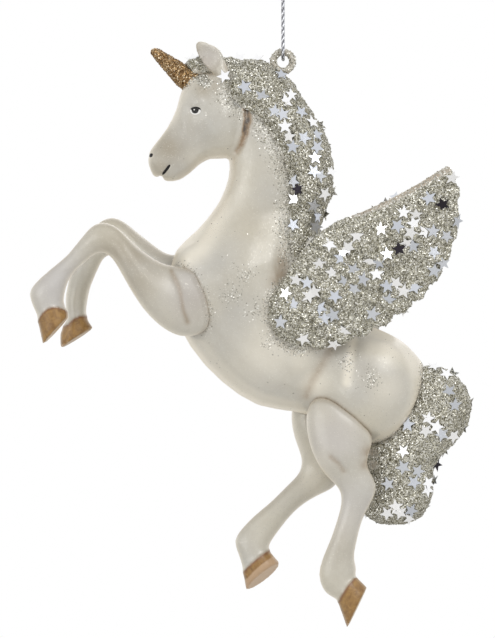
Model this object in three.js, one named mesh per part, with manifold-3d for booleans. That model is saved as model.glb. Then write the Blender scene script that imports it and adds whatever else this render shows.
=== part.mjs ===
// Winged unicorn hanging ornament: resin castings pinned and glued together, on a metallic cord loop.
// Millimetres, +Z up. The figure rears towards -X and shows its near side to -Y.
// The origin is where the knot of the cord loop rests on a hook, and the figure hangs below it.
import * as THREE from 'three';
import { mergeVertices } from 'three/addons/utils/BufferGeometryUtils.js';
import Module from 'manifold-3d';

const wasm = await Module();
wasm.setup();

// Overall size, ear tip to lowest hoof
const FIGURE_HEIGHT = 140;

// Fits
const GLUE_GAP = 0.3;
const PIN_CLEARANCE = 0.3;
const PIN_COVER = 1.7;

// Cord loop
const CORD_DIAMETER = 0.9;
const CORD_DROP = 36;
const CORD_CLEARANCE = 0.3;
const STRAND_GAP = 0.4;
const HOOK_OPENING = 4.6;
const HOOK_DEPTH = 6;
const LOOP_DEPTH = 15;
const LOOP_SHOULDER = 0.3;
const LOOP_NECK = 0.4;
const STRAND_FOOT = 7;
const BIGHT_RISE = 2.6;
const BIGHT_PINCH = 0.35;
const KNOT_DIAMETER = 3.2;
const KNOT_HEIGHT = 3;
const KNOT_WRAPS = 3;
const CORD_TAIL_LENGTH = 3.5;
const CORD_TAIL_SPLAY = 0.35;

// Hanging eye
const EYE_HOLE = 2.9;
const EYE_WALL = 1.7;
const EYE_THICKNESS = 2.2;
const EYE_STEM_DIAMETER = 2.2;
const EYE_STEM_LENGTH = 10;

// Wire pins
const PIN_DIAMETER = 1.6;
const LEG_PIN_LENGTH = 8;
const WING_PIN_LENGTH = 7;
const TAIL_PIN_LENGTH = 8;
const HORN_PIN_DIAMETER = 1;
const HORN_PIN_LENGTH = 6;

// Widths of the body across the figure
const BUTTOCK_WIDTH = 15;
const HAUNCH_WIDTH = 21;
const LOIN_WIDTH = 20;
const BARREL_WIDTH = 24;
const CHEST_WIDTH = 24;
const NECK_BASE_WIDTH = 19;
const NECK_WIDTH = 13;
const THROAT_WIDTH = 10.5;
const POLL_WIDTH = 8.5;
const CHEEK_WIDTH = 12;
const BROW_WIDTH = 9.6;
const NOSE_WIDTH = 6.6;
const MUZZLE_WIDTH = 6.8;
const LIP_WIDTH = 4.4;
const HAUNCH_BULGE = 1.4;

// Ears
const EAR_SPREAD = 3.3;
const EAR_THICKNESS = 2.8;
const EAR_TIP_THICKNESS = 1.7;
const EAR_CUP = 1.5;

// Legs, across the figure: how deep their roots sit in the body, and their thicknesses
const SHOULDER_SEAT = 2.2;
const SHOULDER_SINK = 2.4;
const SHOULDER_ROOT_THICKNESS = 9;
const SHOULDER_THICKNESS = 10;
const FOREARM_THICKNESS = 10.4;
const KNEE_THICKNESS = 7;
const FORE_CANNON_THICKNESS = 5.4;
const FORE_HOOF_THICKNESS = 7.4;
const FORE_HOOF_INSET = 1.5;
const THIGH_SEAT = 3;
const THIGH_SINK = 1;
const THIGH_THICKNESS = 10;
const HOCK_THICKNESS = 6;
const HIND_CANNON_THICKNESS = 5.2;
const HIND_HOOF_THICKNESS = 7;
const HIND_HOOF_INSET = 1.5;
const SOLE_LEAN = 1.2;
const SOLE_EDGE_LEAN = 0.3;
const HOOF_SEAT = 1.4;

// Wings
const WING_STANDOFF = 0.6;
const WING_SPLAY = 0.24;
const WING_ROOT_THICKNESS = 8.4;
const WING_ROOT_SEAT = 1.4;
const WING_ARM_THICKNESS = 4.4;
const FEATHER_THICKNESS = 2.3;
const QUILL_FULLNESS = 0.5;
const FULLEST_SHARE = 0.56;
const TIP_FULLNESS = 0.8;
const FEATHER_CAP = 0.2;
const WING_ARM_CAP = 2;
const WING_TIP_CAP = 0.7;
const PRIMARY_COUNT = 12;
const PRIMARY_WIDTH = 9.4;
const COVERT_COUNT = 7;
const COVERT_WIDTH = 7.4;
const COVERT_REACH = 0.62;
const COVERT_RISE = 0.9;
const LONG_FEATHER = 8;
const LONG_FEATHER_REACH = 1.09;

// Mane, tail and horn
const FORELOCK_WIDTH = 4;
const POLL_MANE_WIDTH = 12.6;
const CREST_WIDTH = 15;
const MANE_END_WIDTH = 15.6;
const MANE_START_CAP = 1.2;
const MANE_END_CAP = 2;
const TAIL_ROOT_WIDTH = 7;
const TAIL_TOP_WIDTH = 8;
const TAIL_WIDTH = 9.4;
const TAIL_TIP_WIDTH = 6;
const TAIL_START_CAP = 2;
const TAIL_END_CAP = 0.5;
const HORN_DIAMETER = 5.7;
const HORN_LENGTH = 10.8;
const HORN_TIP_RADIUS = 1.1;
const HORN_SEAT = 2.2;

// Facets round each form
const TRUNK_SIDES = 18;
const HEAD_SIDES = 16;
const EAR_SIDES = 10;
const LIMB_SIDES = 12;
const ARM_SIDES = 10;
const FEATHER_SIDES = 8;
const HAIR_SIDES = 14;
const ROUND_SIDES = 14;
const RING_SIDES = 20;
const WIRE_SIDES = 8;
const CORD_STEPS = 50;
const CORD_SEGMENTS = 4;

const NEAR = -1;
const FAR = 1;
const EYE_MID_RADIUS = (EYE_HOLE + EYE_WALL) / 2;

// The side view is drawn 140 units tall: x and z from the middle of the hanging eye
const DRAWING_UNIT = FIGURE_HEIGHT / 140;

function spot(x, z) {
  return [x * DRAWING_UNIT, z * DRAWING_UNIT];
}

function spots(places) {
  return places.map(([x, z]) => spot(x, z));
}

// Rows of upper x and z, lower x and z, and sizes across the figure
function traced(rows) {
  return rows.map(([upperX, upperZ, lowerX, lowerZ, ...across]) => [
    ...spot(upperX, upperZ),
    ...spot(lowerX, lowerZ),
    ...across,
  ]);
}

// Solids

function solid(geometry) {
  const bare = geometry.clone();
  for (const name of Object.keys(bare.attributes)) {
    if (name !== 'position') bare.deleteAttribute(name);
  }
  const merged = mergeVertices(bare, 1e-4);
  return new wasm.Manifold(
    new wasm.Mesh({
      numProp: 3,
      vertProperties: merged.attributes.position.array,
      triVerts: new Uint32Array(merged.index.array),
    }),
  );
}

function join(parts) {
  return parts.reduce((whole, part) => whole.add(part));
}

function cut(whole, tools) {
  return tools.reduce((rest, tool) => rest.subtract(tool), whole);
}

// A cut can leave loose chips on the far side of a neighbour: the piece is the largest body.
function largest(whole) {
  return whole.decompose().reduce((a, b) => (a.volume() > b.volume() ? a : b));
}

function geometryOf(whole) {
  const mesh = whole.getMesh();
  const geometry = new THREE.BufferGeometry();
  geometry.setAttribute('position', new THREE.BufferAttribute(mesh.vertProperties, 3));
  geometry.setIndex(new THREE.BufferAttribute(mesh.triVerts, 1));
  geometry.computeVertexNormals();
  return geometry;
}

// A closed skin through cross-sections, each an ellipse set up across the figure.
// A row is [upper x, upper z, lower x, lower z, width, y, lean]: the lean tips the section so that its
// near edge lies further back along the loft. Caps are the heights of the end domes.
function loft(rows, { sides = 16, steps = 2, startCap = 0, endCap = 0, capRings = 2, grow = 0 } = {}) {
  const upper = new THREE.CatmullRomCurve3(rows.map(([x, z]) => new THREE.Vector3(x, 0, z)));
  const lower = new THREE.CatmullRomCurve3(rows.map(([, , x, z]) => new THREE.Vector3(x, 0, z)));
  const across = new THREE.CatmullRomCurve3(
    rows.map(([, , , , width, y = 0, lean = 0]) => new THREE.Vector3(width, y, lean)),
  );
  const spans = (rows.length - 1) * steps;
  const sections = Array.from({ length: spans + 1 }, (_, i) => {
    const [top, bottom, size] = [upper, lower, across].map((curve) => curve.getPoint(i / spans));
    const up = top.clone().sub(bottom).divideScalar(2);
    up.setLength(up.length() + grow);
    const centre = top.clone().add(bottom).divideScalar(2);
    centre.y = size.y;
    return { centre, up, half: size.x / 2 + grow, lean: size.z };
  });
  const first = sections[0];
  const last = sections[spans];
  const startWay = first.centre.clone().sub(sections[1].centre).normalize();
  const endWay = last.centre.clone().sub(sections[spans - 1].centre).normalize();
  const dome = (section, way, cap) =>
    Array.from({ length: cap > 0 ? capRings : 0 }, (_, i) => {
      const angle = ((i + 1) / (capRings + 1)) * (Math.PI / 2);
      return {
        centre: section.centre.clone().addScaledVector(way, (cap + grow) * Math.sin(angle)),
        up: section.up.clone().multiplyScalar(Math.cos(angle)),
        half: section.half * Math.cos(angle),
        lean: section.lean * Math.cos(angle),
      };
    });
  const rings = [
    ...dome(first, startWay, startCap).reverse(),
    ...sections,
    ...dome(last, endWay, endCap),
  ];
  const points = [first.centre.clone().addScaledVector(startWay, startCap + grow)];
  rings.forEach(({ centre, up, half, lean }) => {
    for (let k = 0; k < sides; k++) {
      const angle = (2 * Math.PI * k) / sides;
      const point = centre.clone().addScaledVector(up, Math.cos(angle));
      point.addScaledVector(endWay, lean * Math.sin(angle));
      point.y += half * Math.sin(angle);
      points.push(point);
    }
  });
  points.push(last.centre.clone().addScaledVector(endWay, endCap + grow));
  const index = [];
  const ringPoint = (ring, k) => 1 + ring * sides + (k % sides);
  const end = points.length - 1;
  for (let k = 0; k < sides; k++) {
    index.push(0, ringPoint(0, k), ringPoint(0, k + 1));
    for (let ring = 0; ring + 1 < rings.length; ring++) {
      const [a, b] = [ringPoint(ring, k), ringPoint(ring, k + 1)];
      const [c, d] = [ringPoint(ring + 1, k), ringPoint(ring + 1, k + 1)];
      index.push(a, c, b, b, c, d);
    }
    index.push(end, ringPoint(rings.length - 1, k + 1), ringPoint(rings.length - 1, k));
  }
  const facing = first.up.clone().cross(new THREE.Vector3(0, 1, 0)).dot(startWay);
  if (facing < 0) index.reverse();
  const geometry = new THREE.BufferGeometry().setFromPoints(points);
  geometry.setIndex(index);
  return solid(geometry);
}

function ellipsoid(centre, radii, grow = 0) {
  const geometry = new THREE.SphereGeometry(1, 16, 8);
  geometry.scale(radii.x + grow, radii.y + grow, radii.z + grow);
  geometry.translate(centre.x, centre.y, centre.z);
  return solid(geometry);
}

// Round work stands along +Y in its own frame and is turned to its direction.
function turned(geometry, centre, way) {
  const turn = new THREE.Quaternion().setFromUnitVectors(new THREE.Vector3(0, 1, 0), way);
  return geometry.applyQuaternion(turn).translate(centre.x, centre.y, centre.z);
}

// Wire pins and the blind holes they sit in

const ACROSS = new THREE.Vector3(0, 1, 0);

function pinGeometry({ centre, way, length, diameter }, clearance = 0) {
  const radius = diameter / 2 + clearance;
  const wire = new THREE.CylinderGeometry(radius, radius, length + 2 * clearance, WIRE_SIDES);
  return turned(wire, centre, way);
}

function socket(pin) {
  return solid(pinGeometry(pin, PIN_CLEARANCE));
}

// A pin straight across the figure, its outer end a cover's depth under the limb's outer face.
function acrossPin(side, x, z, outerFace, length) {
  const y = side * (outerFace - PIN_COVER - length / 2);
  return { centre: new THREE.Vector3(x, y, z), way: ACROSS, length, diameter: PIN_DIAMETER };
}

// Body casting: trunk with neck, head, haunches and ears

const TRUNK = traced([
  [33.6, -72.4, 23, -92, BUTTOCK_WIDTH],
  [29.1, -67.4, 16.6, -90.8, HAUNCH_WIDTH],
  [24, -64.6, 9.4, -85.8, HAUNCH_WIDTH],
  [18, -62.2, 2.4, -84, LOIN_WIDTH],
  [12, -58, -6.1, -82.4, BARREL_WIDTH],
  [7.7, -52.4, -14.6, -76.9, BARREL_WIDTH],
  [5.8, -48.1, -22.2, -68.4, CHEST_WIDTH],
  [5.3, -44.8, -27.6, -56, CHEST_WIDTH],
  [5.3, -40.9, -25.7, -45.7, NECK_BASE_WIDTH],
  [5.5, -34.4, -20.5, -40.4, NECK_WIDTH],
  [4.6, -26.5, -15.5, -34.1, NECK_WIDTH],
  [2.2, -18.8, -13, -27.7, NECK_WIDTH],
  [-1.9, -11.6, -13, -23.4, THROAT_WIDTH],
  [-7.9, -5.6, -14.6, -17.6, POLL_WIDTH],
]);
const RUMP_CAP = 3.2;
const POLL_CAP = 2;

const HEAD = traced([
  [-12.2, -3.4, -8.8, -18.8, POLL_WIDTH],
  [-16.8, -2.2, -11.3, -22.9, CHEEK_WIDTH],
  [-22.3, -3.7, -14.6, -23.3, CHEEK_WIDTH],
  [-24.5, -7.7, -17.5, -23.4, BROW_WIDTH],
  [-25.5, -11.3, -19.9, -24.6, BROW_WIDTH],
  [-27.6, -15.7, -22.5, -26.9, NOSE_WIDTH],
  [-30.1, -19.1, -25.2, -28.5, NOSE_WIDTH],
  [-31.9, -21.6, -28.1, -28.6, MUZZLE_WIDTH],
  [-32.2, -23.4, -30.8, -27.5, LIP_WIDTH],
]);
const CHEEK_CAP = 1.2;
const LIP_CAP = 0.4;

const EAR = traced([
  [-15.4, -7, -12, -6],
  [-16.1, -3.8, -13, -2.6],
  [-17.5, -2.3, -13.5, -0.8],
  [-19.2, -0.4, -14.3, 1],
  [-20.4, 1.8, -15.5, 2.9],
  [-20.9, 3.6, -18.1, 4.2],
]);
const EAR_TIP_CAP = 0.9;
const EAR_CUP_CENTRE = spot(-18.1, 1);
const EAR_CUP_REACH = spot(3.6, 3.8);

const MOUTH_CENTRE = spot(-29.4, -28.6);
const MOUTH_REACH = spot(0.9, 1.4);

const HAUNCH_CENTRE = spot(20.6, -78);
const HAUNCH_REACH = spot(11.6, 12.4);

function ear(side, grow) {
  const y = side * EAR_SPREAD;
  const rows = EAR.map((row, i) => {
    const thickness = i === EAR.length - 1 ? EAR_TIP_THICKNESS : EAR_THICKNESS;
    return [...row, thickness, y];
  });
  const shell = loft(rows, { sides: EAR_SIDES, endCap: EAR_TIP_CAP, grow });
  const [cupX, cupZ] = EAR_CUP_CENTRE;
  const cupCentre = new THREE.Vector3(cupX, side * (EAR_SPREAD + EAR_CUP), cupZ);
  const cupRadii = new THREE.Vector3(EAR_CUP_REACH[0], EAR_CUP, EAR_CUP_REACH[1]);
  return shell.subtract(ellipsoid(cupCentre, cupRadii, -grow / 2));
}

// The notch between the lips
function mouth(grow) {
  const centre = new THREE.Vector3(MOUTH_CENTRE[0], 0, MOUTH_CENTRE[1]);
  return ellipsoid(centre, new THREE.Vector3(MOUTH_REACH[0], MUZZLE_WIDTH, MOUTH_REACH[1]), -grow);
}

function haunch(side, grow) {
  const radius = HAUNCH_WIDTH / 4 + HAUNCH_BULGE;
  const centre = new THREE.Vector3(HAUNCH_CENTRE[0], (side * HAUNCH_WIDTH) / 4, HAUNCH_CENTRE[1]);
  return ellipsoid(centre, new THREE.Vector3(HAUNCH_REACH[0], radius, HAUNCH_REACH[1]), grow);
}

function bodyForm(grow = 0) {
  const head = loft(HEAD, { sides: HEAD_SIDES, startCap: CHEEK_CAP, endCap: LIP_CAP, grow });
  return join([
    loft(TRUNK, { sides: TRUNK_SIDES, startCap: RUMP_CAP, endCap: POLL_CAP, grow }),
    head.subtract(mouth(grow)),
    ...[NEAR, FAR].flatMap((side) => [ear(side, grow), haunch(side, grow)]),
  ]);
}

// Legs: each a limb with its hoof, front edge first in every row

function foreY(side) {
  return side * (CHEST_WIDTH / 2 - SHOULDER_SEAT);
}

function hindY(side) {
  return side * (HAUNCH_WIDTH / 2 + HAUNCH_BULGE - THIGH_SEAT - HAUNCH_BULGE / 2);
}

function foreThickness() {
  const arm = [SHOULDER_ROOT_THICKNESS, SHOULDER_THICKNESS, FOREARM_THICKNESS, FOREARM_THICKNESS];
  const knee = [KNEE_THICKNESS, KNEE_THICKNESS];
  const cannon = [FORE_CANNON_THICKNESS, FORE_CANNON_THICKNESS, FORE_CANNON_THICKNESS];
  return [...arm, ...knee, ...cannon, KNEE_THICKNESS, KNEE_THICKNESS, KNEE_THICKNESS];
}

function hindThickness() {
  const thigh = [THIGH_THICKNESS, THIGH_THICKNESS, THIGH_THICKNESS];
  const hock = [HOCK_THICKNESS, HOCK_THICKNESS, HOCK_THICKNESS];
  const cannon = [HIND_CANNON_THICKNESS, HIND_CANNON_THICKNESS, HIND_CANNON_THICKNESS];
  return [...thigh, ...hock, ...cannon, HOCK_THICKNESS, HOCK_THICKNESS, HOCK_THICKNESS];
}

const NEAR_FORE = {
  limb: traced([
    [-21.2, -49.4, -18.6, -65.8],
    [-28.1, -48.8, -25.7, -65.7],
    [-34.8, -44.5, -32.3, -60.6],
    [-38.6, -40.9, -36.8, -53.9],
    [-41.5, -39, -40.4, -47.8],
    [-44.6, -39.2, -43.2, -45.7],
    [-47.5, -41.8, -45.8, -46.9],
    [-51.3, -46.5, -48.7, -49.3],
    [-55.7, -50.2, -50.6, -51.5],
    [-59.6, -53.9, -51.8, -54.1],
    [-60.5, -56, -52.3, -56.8],
    [-58.5, -61.3, -52.6, -58.7],
  ]),
  hoof: traced([
    [-58.7, -61.4, -52.2, -58.2],
    [-57.3, -67.7, -51.3, -61.2],
  ]),
  soleLean: SOLE_EDGE_LEAN,
};

const FAR_FORE = {
  limb: traced([
    [-20.4, -45.2, -18.7, -63.5],
    [-26.9, -46.4, -24.7, -63],
    [-32.5, -42.9, -31.2, -58.4],
    [-36.4, -40, -35.5, -52.4],
    [-39.3, -37.8, -39.1, -47.2],
    [-42.3, -37.5, -41.8, -46.2],
    [-46, -40.2, -43, -46.9],
    [-48.7, -45.2, -44.4, -49.3],
    [-50.9, -50, -45.8, -52.4],
    [-52, -54.4, -46.8, -54.8],
    [-52.4, -57, -47.1, -57.2],
    [-52.2, -60.8, -47.6, -59.6],
  ]),
  hoof: traced([
    [-52, -61.8, -47.6, -59.8],
    [-53.6, -65.4, -46.9, -62.6],
    [-53.5, -68.7, -45.7, -63.8],
  ]),
  soleLean: SOLE_EDGE_LEAN,
};

const NEAR_HIND = {
  limb: traced([
    [5.9, -82.2, 21.8, -89.7],
    [5.5, -87.6, 20.8, -93.2],
    [7, -93.7, 19.9, -95.6],
    [10.1, -99.2, 20.4, -97.6],
    [13.2, -102.1, 22.2, -101.2],
    [14, -104.8, 21.3, -104.8],
    [13.1, -109.1, 19.1, -109.1],
    [11.5, -114.1, 17.5, -114.8],
    [9.5, -118.9, 16.9, -118.9],
    [8.6, -122.9, 17.5, -121.6],
    [9.9, -126.8, 17.1, -123.3],
    [12.6, -128.7, 17.2, -123.7],
  ]),
  hoof: traced([
    [12.9, -128.7, 17.3, -123.3],
    [15.3, -135.4, 19.9, -125.9],
  ]),
  soleLean: SOLE_EDGE_LEAN,
};

const FAR_HIND = {
  limb: traced([
    [2.4, -82.4, 14.9, -86],
    [2.1, -87.2, 13.7, -90.8],
    [3.4, -91.8, 12.9, -94.9],
    [4.5, -95.8, 13.5, -99.3],
    [3.9, -98.8, 12.9, -101.9],
    [0.8, -102.3, 9.1, -103.8],
    [-2.8, -105.9, 4.5, -106.7],
    [-6.8, -109.3, 1.6, -109.5],
    [-10.1, -112.7, -0.8, -112.5],
    [-11.5, -115.3, -3, -115.7],
    [-10.6, -118.6, -3.4, -116.9],
    [-9.7, -121.5, -3.2, -117.7],
  ]),
  hoof: traced([
    [-9.7, -121.8, -3.3, -117.7],
    [-8.8, -126.9, -0.8, -120.7],
  ]),
  soleLean: SOLE_LEAN,
};

const SHOULDER_CAP = 5.4;
const THIGH_CAP = 4.7;
const SINK_SHARES = [1, 0.5];

// The first rows of a limb sink towards the middle plane, so that its root lies almost flush with the body.
function legForm({ limb, hoof, soleLean }, thickness, root, inset, hoofThickness, grow = 0) {
  const out = Math.sign(root.y);
  const hoofY = root.y - out * inset;
  const rows = limb.map((row, i) => {
    const y = THREE.MathUtils.lerp(root.y, hoofY, i / (limb.length - 1));
    return [...row, thickness[i], y - out * root.sink * (SINK_SHARES[i] ?? 0)];
  });
  const wall = hoof.map((row, i) => {
    const lean = i === hoof.length - 1 ? soleLean : 0;
    return [...row, hoofThickness, hoofY, lean];
  });
  const leg = loft(rows, { sides: LIMB_SIDES, startCap: root.cap, endCap: HOOF_SEAT, grow });
  return leg.add(loft(wall, { sides: LIMB_SIDES, grow }));
}

function foreForm(side) {
  const shape = side === NEAR ? NEAR_FORE : FAR_FORE;
  const root = { y: foreY(side), sink: SHOULDER_SINK, cap: SHOULDER_CAP };
  return legForm(shape, foreThickness(), root, FORE_HOOF_INSET, FORE_HOOF_THICKNESS);
}

function hindForm(side, grow) {
  const shape = side === NEAR ? NEAR_HIND : FAR_HIND;
  const root = { y: hindY(side), sink: THIGH_SINK, cap: THIGH_CAP };
  return legForm(shape, hindThickness(), root, HIND_HOOF_INSET, HIND_HOOF_THICKNESS, grow);
}

const FORE_PIN = spot(-24.5, -57);
const HIND_PINS = { [NEAR]: spot(13, -86), [FAR]: spot(8.2, -86) };

function forePin(side) {
  const outerFace = Math.abs(foreY(side)) + SHOULDER_ROOT_THICKNESS / 2 - SHOULDER_SINK;
  return acrossPin(side, ...FORE_PIN, outerFace, LEG_PIN_LENGTH);
}

function hindPin(side) {
  const outerFace = Math.abs(hindY(side)) + THIGH_THICKNESS / 2 - THIGH_SINK;
  return acrossPin(side, ...HIND_PINS[side], outerFace, LEG_PIN_LENGTH);
}

// Wings: an arm along the leading edge, a root lobe on the barrel, and two fans of feathers

const WING_ROOT = spot(3.4, -60.5);
const WING_ROOT_REACH = spot(7.4, 8.2);
const WING_WAY = [0.71, 0.704];
const WING_ARM = traced([
  [-2.6, -57, 3.4, -63],
  [1.4, -49.8, 8.6, -56],
  [8.4, -41, 14, -46.8],
  [19.8, -35.8, 22, -40.6],
  [29.9, -30.8, 31.6, -35],
  [38.4, -25.6, 40.4, -29],
]);
const FEATHER_TIPS = spots([
  [41.1, -30],
  [41.5, -37],
  [40.2, -45.2],
  [36.4, -52.6],
  [30.4, -58.5],
  [23.2, -63.3],
  [14.6, -67.1],
  [6, -68.7],
]);
const FEATHER_ROOTS = spots([
  [26.4, -38],
  [17.4, -41.6],
  [9, -48],
  [3.4, -56],
  [-0.4, -61.4],
]);

// How far out from the middle plane the wing lies at a place on it
function wingOut([x, z]) {
  const along = (x - WING_ROOT[0]) * WING_WAY[0] + (z - WING_ROOT[1]) * WING_WAY[1];
  return BARREL_WIDTH / 2 + WING_STANDOFF + WING_SPLAY * along;
}

function flatCurve(points) {
  return new THREE.CatmullRomCurve3(points.map(([x, z]) => new THREE.Vector3(x, 0, z)));
}

// One feather: narrow at the quill, full past the middle, round at the tip
function feather(side, root, tip, width, thickness, rise) {
  const way = tip.clone().sub(root).normalize();
  const edge = new THREE.Vector3(-way.z, 0, way.x);
  const stations = [
    [0, QUILL_FULLNESS],
    [FULLEST_SHARE, 1],
    [1, TIP_FULLNESS],
  ];
  const tipCap = width * FEATHER_CAP;
  const rows = stations.map(([share, fullness]) => {
    const middle = root.clone().lerp(tip.clone().addScaledVector(way, -tipCap), share);
    const a = middle.clone().addScaledVector(edge, (width / 2) * fullness);
    const b = middle.clone().addScaledVector(edge, (-width / 2) * fullness);
    const y = side * (wingOut([middle.x, middle.z]) + rise);
    return [a.x, a.z, b.x, b.z, thickness * fullness, y];
  });
  return loft(rows, { sides: FEATHER_SIDES, steps: 1, startCap: tipCap, endCap: tipCap, capRings: 1 });
}

// A fan of feathers, each reaching its own share of the way to the trailing edge
function featherFan(side, reaches, width, rise) {
  const tips = flatCurve(FEATHER_TIPS);
  const roots = flatCurve(FEATHER_ROOTS);
  return reaches.map((reach, i) => {
    const share = i / (reaches.length - 1);
    const root = roots.getPointAt(share);
    const tip = root.clone().lerp(tips.getPointAt(share), reach);
    return feather(side, root, tip, width, FEATHER_THICKNESS, rise);
  });
}

// One feather of the far wing hangs past the near wing.
function primaryReaches(side) {
  const reaches = Array(PRIMARY_COUNT).fill(1);
  if (side === FAR) reaches[LONG_FEATHER] = LONG_FEATHER_REACH;
  return reaches;
}

function wingForm(side) {
  const arm = WING_ARM.map(([upperX, upperZ, lowerX, lowerZ], i) => {
    const middle = [(upperX + lowerX) / 2, (upperZ + lowerZ) / 2];
    const share = i / (WING_ARM.length - 1);
    const thickness = THREE.MathUtils.lerp(WING_ARM_THICKNESS, FEATHER_THICKNESS, share);
    return [upperX, upperZ, lowerX, lowerZ, thickness, side * wingOut(middle)];
  });
  const [rootX, rootZ] = WING_ROOT;
  const lobeCentre = new THREE.Vector3(rootX, side * (wingOut(WING_ROOT) - WING_ROOT_SEAT), rootZ);
  const lobeRadii = new THREE.Vector3(WING_ROOT_REACH[0], WING_ROOT_THICKNESS / 2, WING_ROOT_REACH[1]);
  return join([
    loft(arm, { sides: ARM_SIDES, startCap: WING_ARM_CAP, endCap: WING_TIP_CAP }),
    ellipsoid(lobeCentre, lobeRadii),
    ...featherFan(side, primaryReaches(side), PRIMARY_WIDTH, 0),
    ...featherFan(side, Array(COVERT_COUNT).fill(COVERT_REACH), COVERT_WIDTH, COVERT_RISE),
  ]);
}

const WING_FRONT_PIN = spot(1, -62.5);
const WING_REAR_PIN = spot(6, -59.5);

function wingPin(side, [x, z]) {
  const outerFace = wingOut(WING_ROOT) - WING_ROOT_SEAT + WING_ROOT_THICKNESS / 2;
  return acrossPin(side, x, z, outerFace, WING_PIN_LENGTH);
}

// Mane with its forelock, tail and horn

const MANE = traced([
  [-22.9, 0, -21.4, -3.6, FORELOCK_WIDTH],
  [-19.8, 1.2, -18, -4, FORELOCK_WIDTH],
  [-14.4, 1.1, -13.6, -5, FORELOCK_WIDTH],
  [-10, 0.5, -13.4, -11.2, POLL_MANE_WIDTH],
  [-4.8, 0.3, -10.6, -13.8, POLL_MANE_WIDTH],
  [1.7, -4, -6.1, -16.5, CREST_WIDTH],
  [5.6, -10.3, -4.2, -20, CREST_WIDTH],
  [10.1, -17.2, -2.6, -23.5, CREST_WIDTH],
  [12, -24.4, -0.3, -28.4, CREST_WIDTH],
  [11.9, -30.8, 0.7, -33.5, CREST_WIDTH],
  [9.9, -36.6, -0.5, -38.9, CREST_WIDTH],
  [8.4, -41.4, -1.2, -45, MANE_END_WIDTH],
  [6.4, -45.4, -0.8, -49.4, MANE_END_WIDTH],
]);

function maneForm() {
  return loft(MANE, { sides: HAIR_SIDES, startCap: MANE_START_CAP, endCap: MANE_END_CAP });
}

const TAIL = traced([
  [32, -73, 30.4, -79.6, TAIL_ROOT_WIDTH],
  [37.7, -73.2, 30.6, -82.2, TAIL_TOP_WIDTH],
  [42.1, -75.8, 28.8, -85, TAIL_WIDTH],
  [45, -80.8, 26.4, -87.6, TAIL_WIDTH],
  [44.7, -86.3, 23.4, -90, TAIL_WIDTH],
  [40.2, -92.7, 20.6, -93, TAIL_WIDTH],
  [36.7, -96.3, 20, -97, TAIL_WIDTH],
  [36, -99.7, 21, -101, TAIL_WIDTH],
  [35.8, -104.3, 21, -105.4, TAIL_WIDTH],
  [33.4, -109.1, 19.7, -109, TAIL_TOP_WIDTH],
  [29.6, -110.9, 22, -110.2, TAIL_TIP_WIDTH],
]);

function tailForm() {
  return loft(TAIL, { sides: HAIR_SIDES, startCap: TAIL_START_CAP, endCap: TAIL_END_CAP });
}

function inMiddle([x, z]) {
  return new THREE.Vector3(x, 0, z);
}

const TAIL_PIN = {
  centre: inMiddle(spot(33.4, -76)),
  way: new THREE.Vector3(1, 0, 0.08).normalize(),
  length: TAIL_PIN_LENGTH,
  diameter: PIN_DIAMETER,
};

const HORN_BASE = inMiddle(spot(-23.2, -4.1));
const HORN_WAY = new THREE.Vector3(-0.764, 0, 0.645).normalize();
const HORN_PIN = {
  centre: HORN_BASE,
  way: HORN_WAY,
  length: HORN_PIN_LENGTH,
  diameter: HORN_PIN_DIAMETER,
};

// A cone with a round tip, turned about its own axis, its foot sunk into the brow
function hornForm(grow = 0) {
  const profile = new THREE.Path();
  const slope = Math.atan2(HORN_DIAMETER / 2 - HORN_TIP_RADIUS, HORN_LENGTH);
  const foot = HORN_DIAMETER / 2 + HORN_SEAT * Math.tan(slope) + grow;
  profile.moveTo(0, -HORN_SEAT - grow);
  profile.lineTo(foot, -HORN_SEAT - grow);
  profile.absarc(0, HORN_LENGTH - HORN_TIP_RADIUS, HORN_TIP_RADIUS + grow, slope, Math.PI / 2, false);
  const points = profile.getPoints(3);
  points[points.length - 1].x = 0;
  return solid(turned(new THREE.LatheGeometry(points, ROUND_SIDES), HORN_BASE, HORN_WAY));
}

// Hanging eye: a ring with its hole across the figure, on a stem down into the crest

const STEM_WAY = new THREE.Vector3(-0.41, 0, -0.912).normalize();

function eyeForm(grow = 0) {
  const section = new THREE.Path();
  const [wall, thickness] = [EYE_WALL / 2 + grow, EYE_THICKNESS / 2 + grow];
  section.absellipse(EYE_MID_RADIUS, 0, wall, thickness, 0, 2 * Math.PI, false);
  const points = section.getPoints(5);
  points[points.length - 1].copy(points[0]);
  const ring = solid(new THREE.LatheGeometry(points, RING_SIDES));
  const radius = EYE_STEM_DIAMETER / 2 + grow;
  const stem = new THREE.CylinderGeometry(radius, radius, EYE_STEM_LENGTH + 2 * grow, ROUND_SIDES);
  const centre = STEM_WAY.clone().multiplyScalar(EYE_MID_RADIUS + EYE_STEM_LENGTH / 2);
  return ring.add(solid(turned(stem, centre, STEM_WAY)));
}

// Cord loop: down from the knot in front of the eye, through it and up again behind

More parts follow.
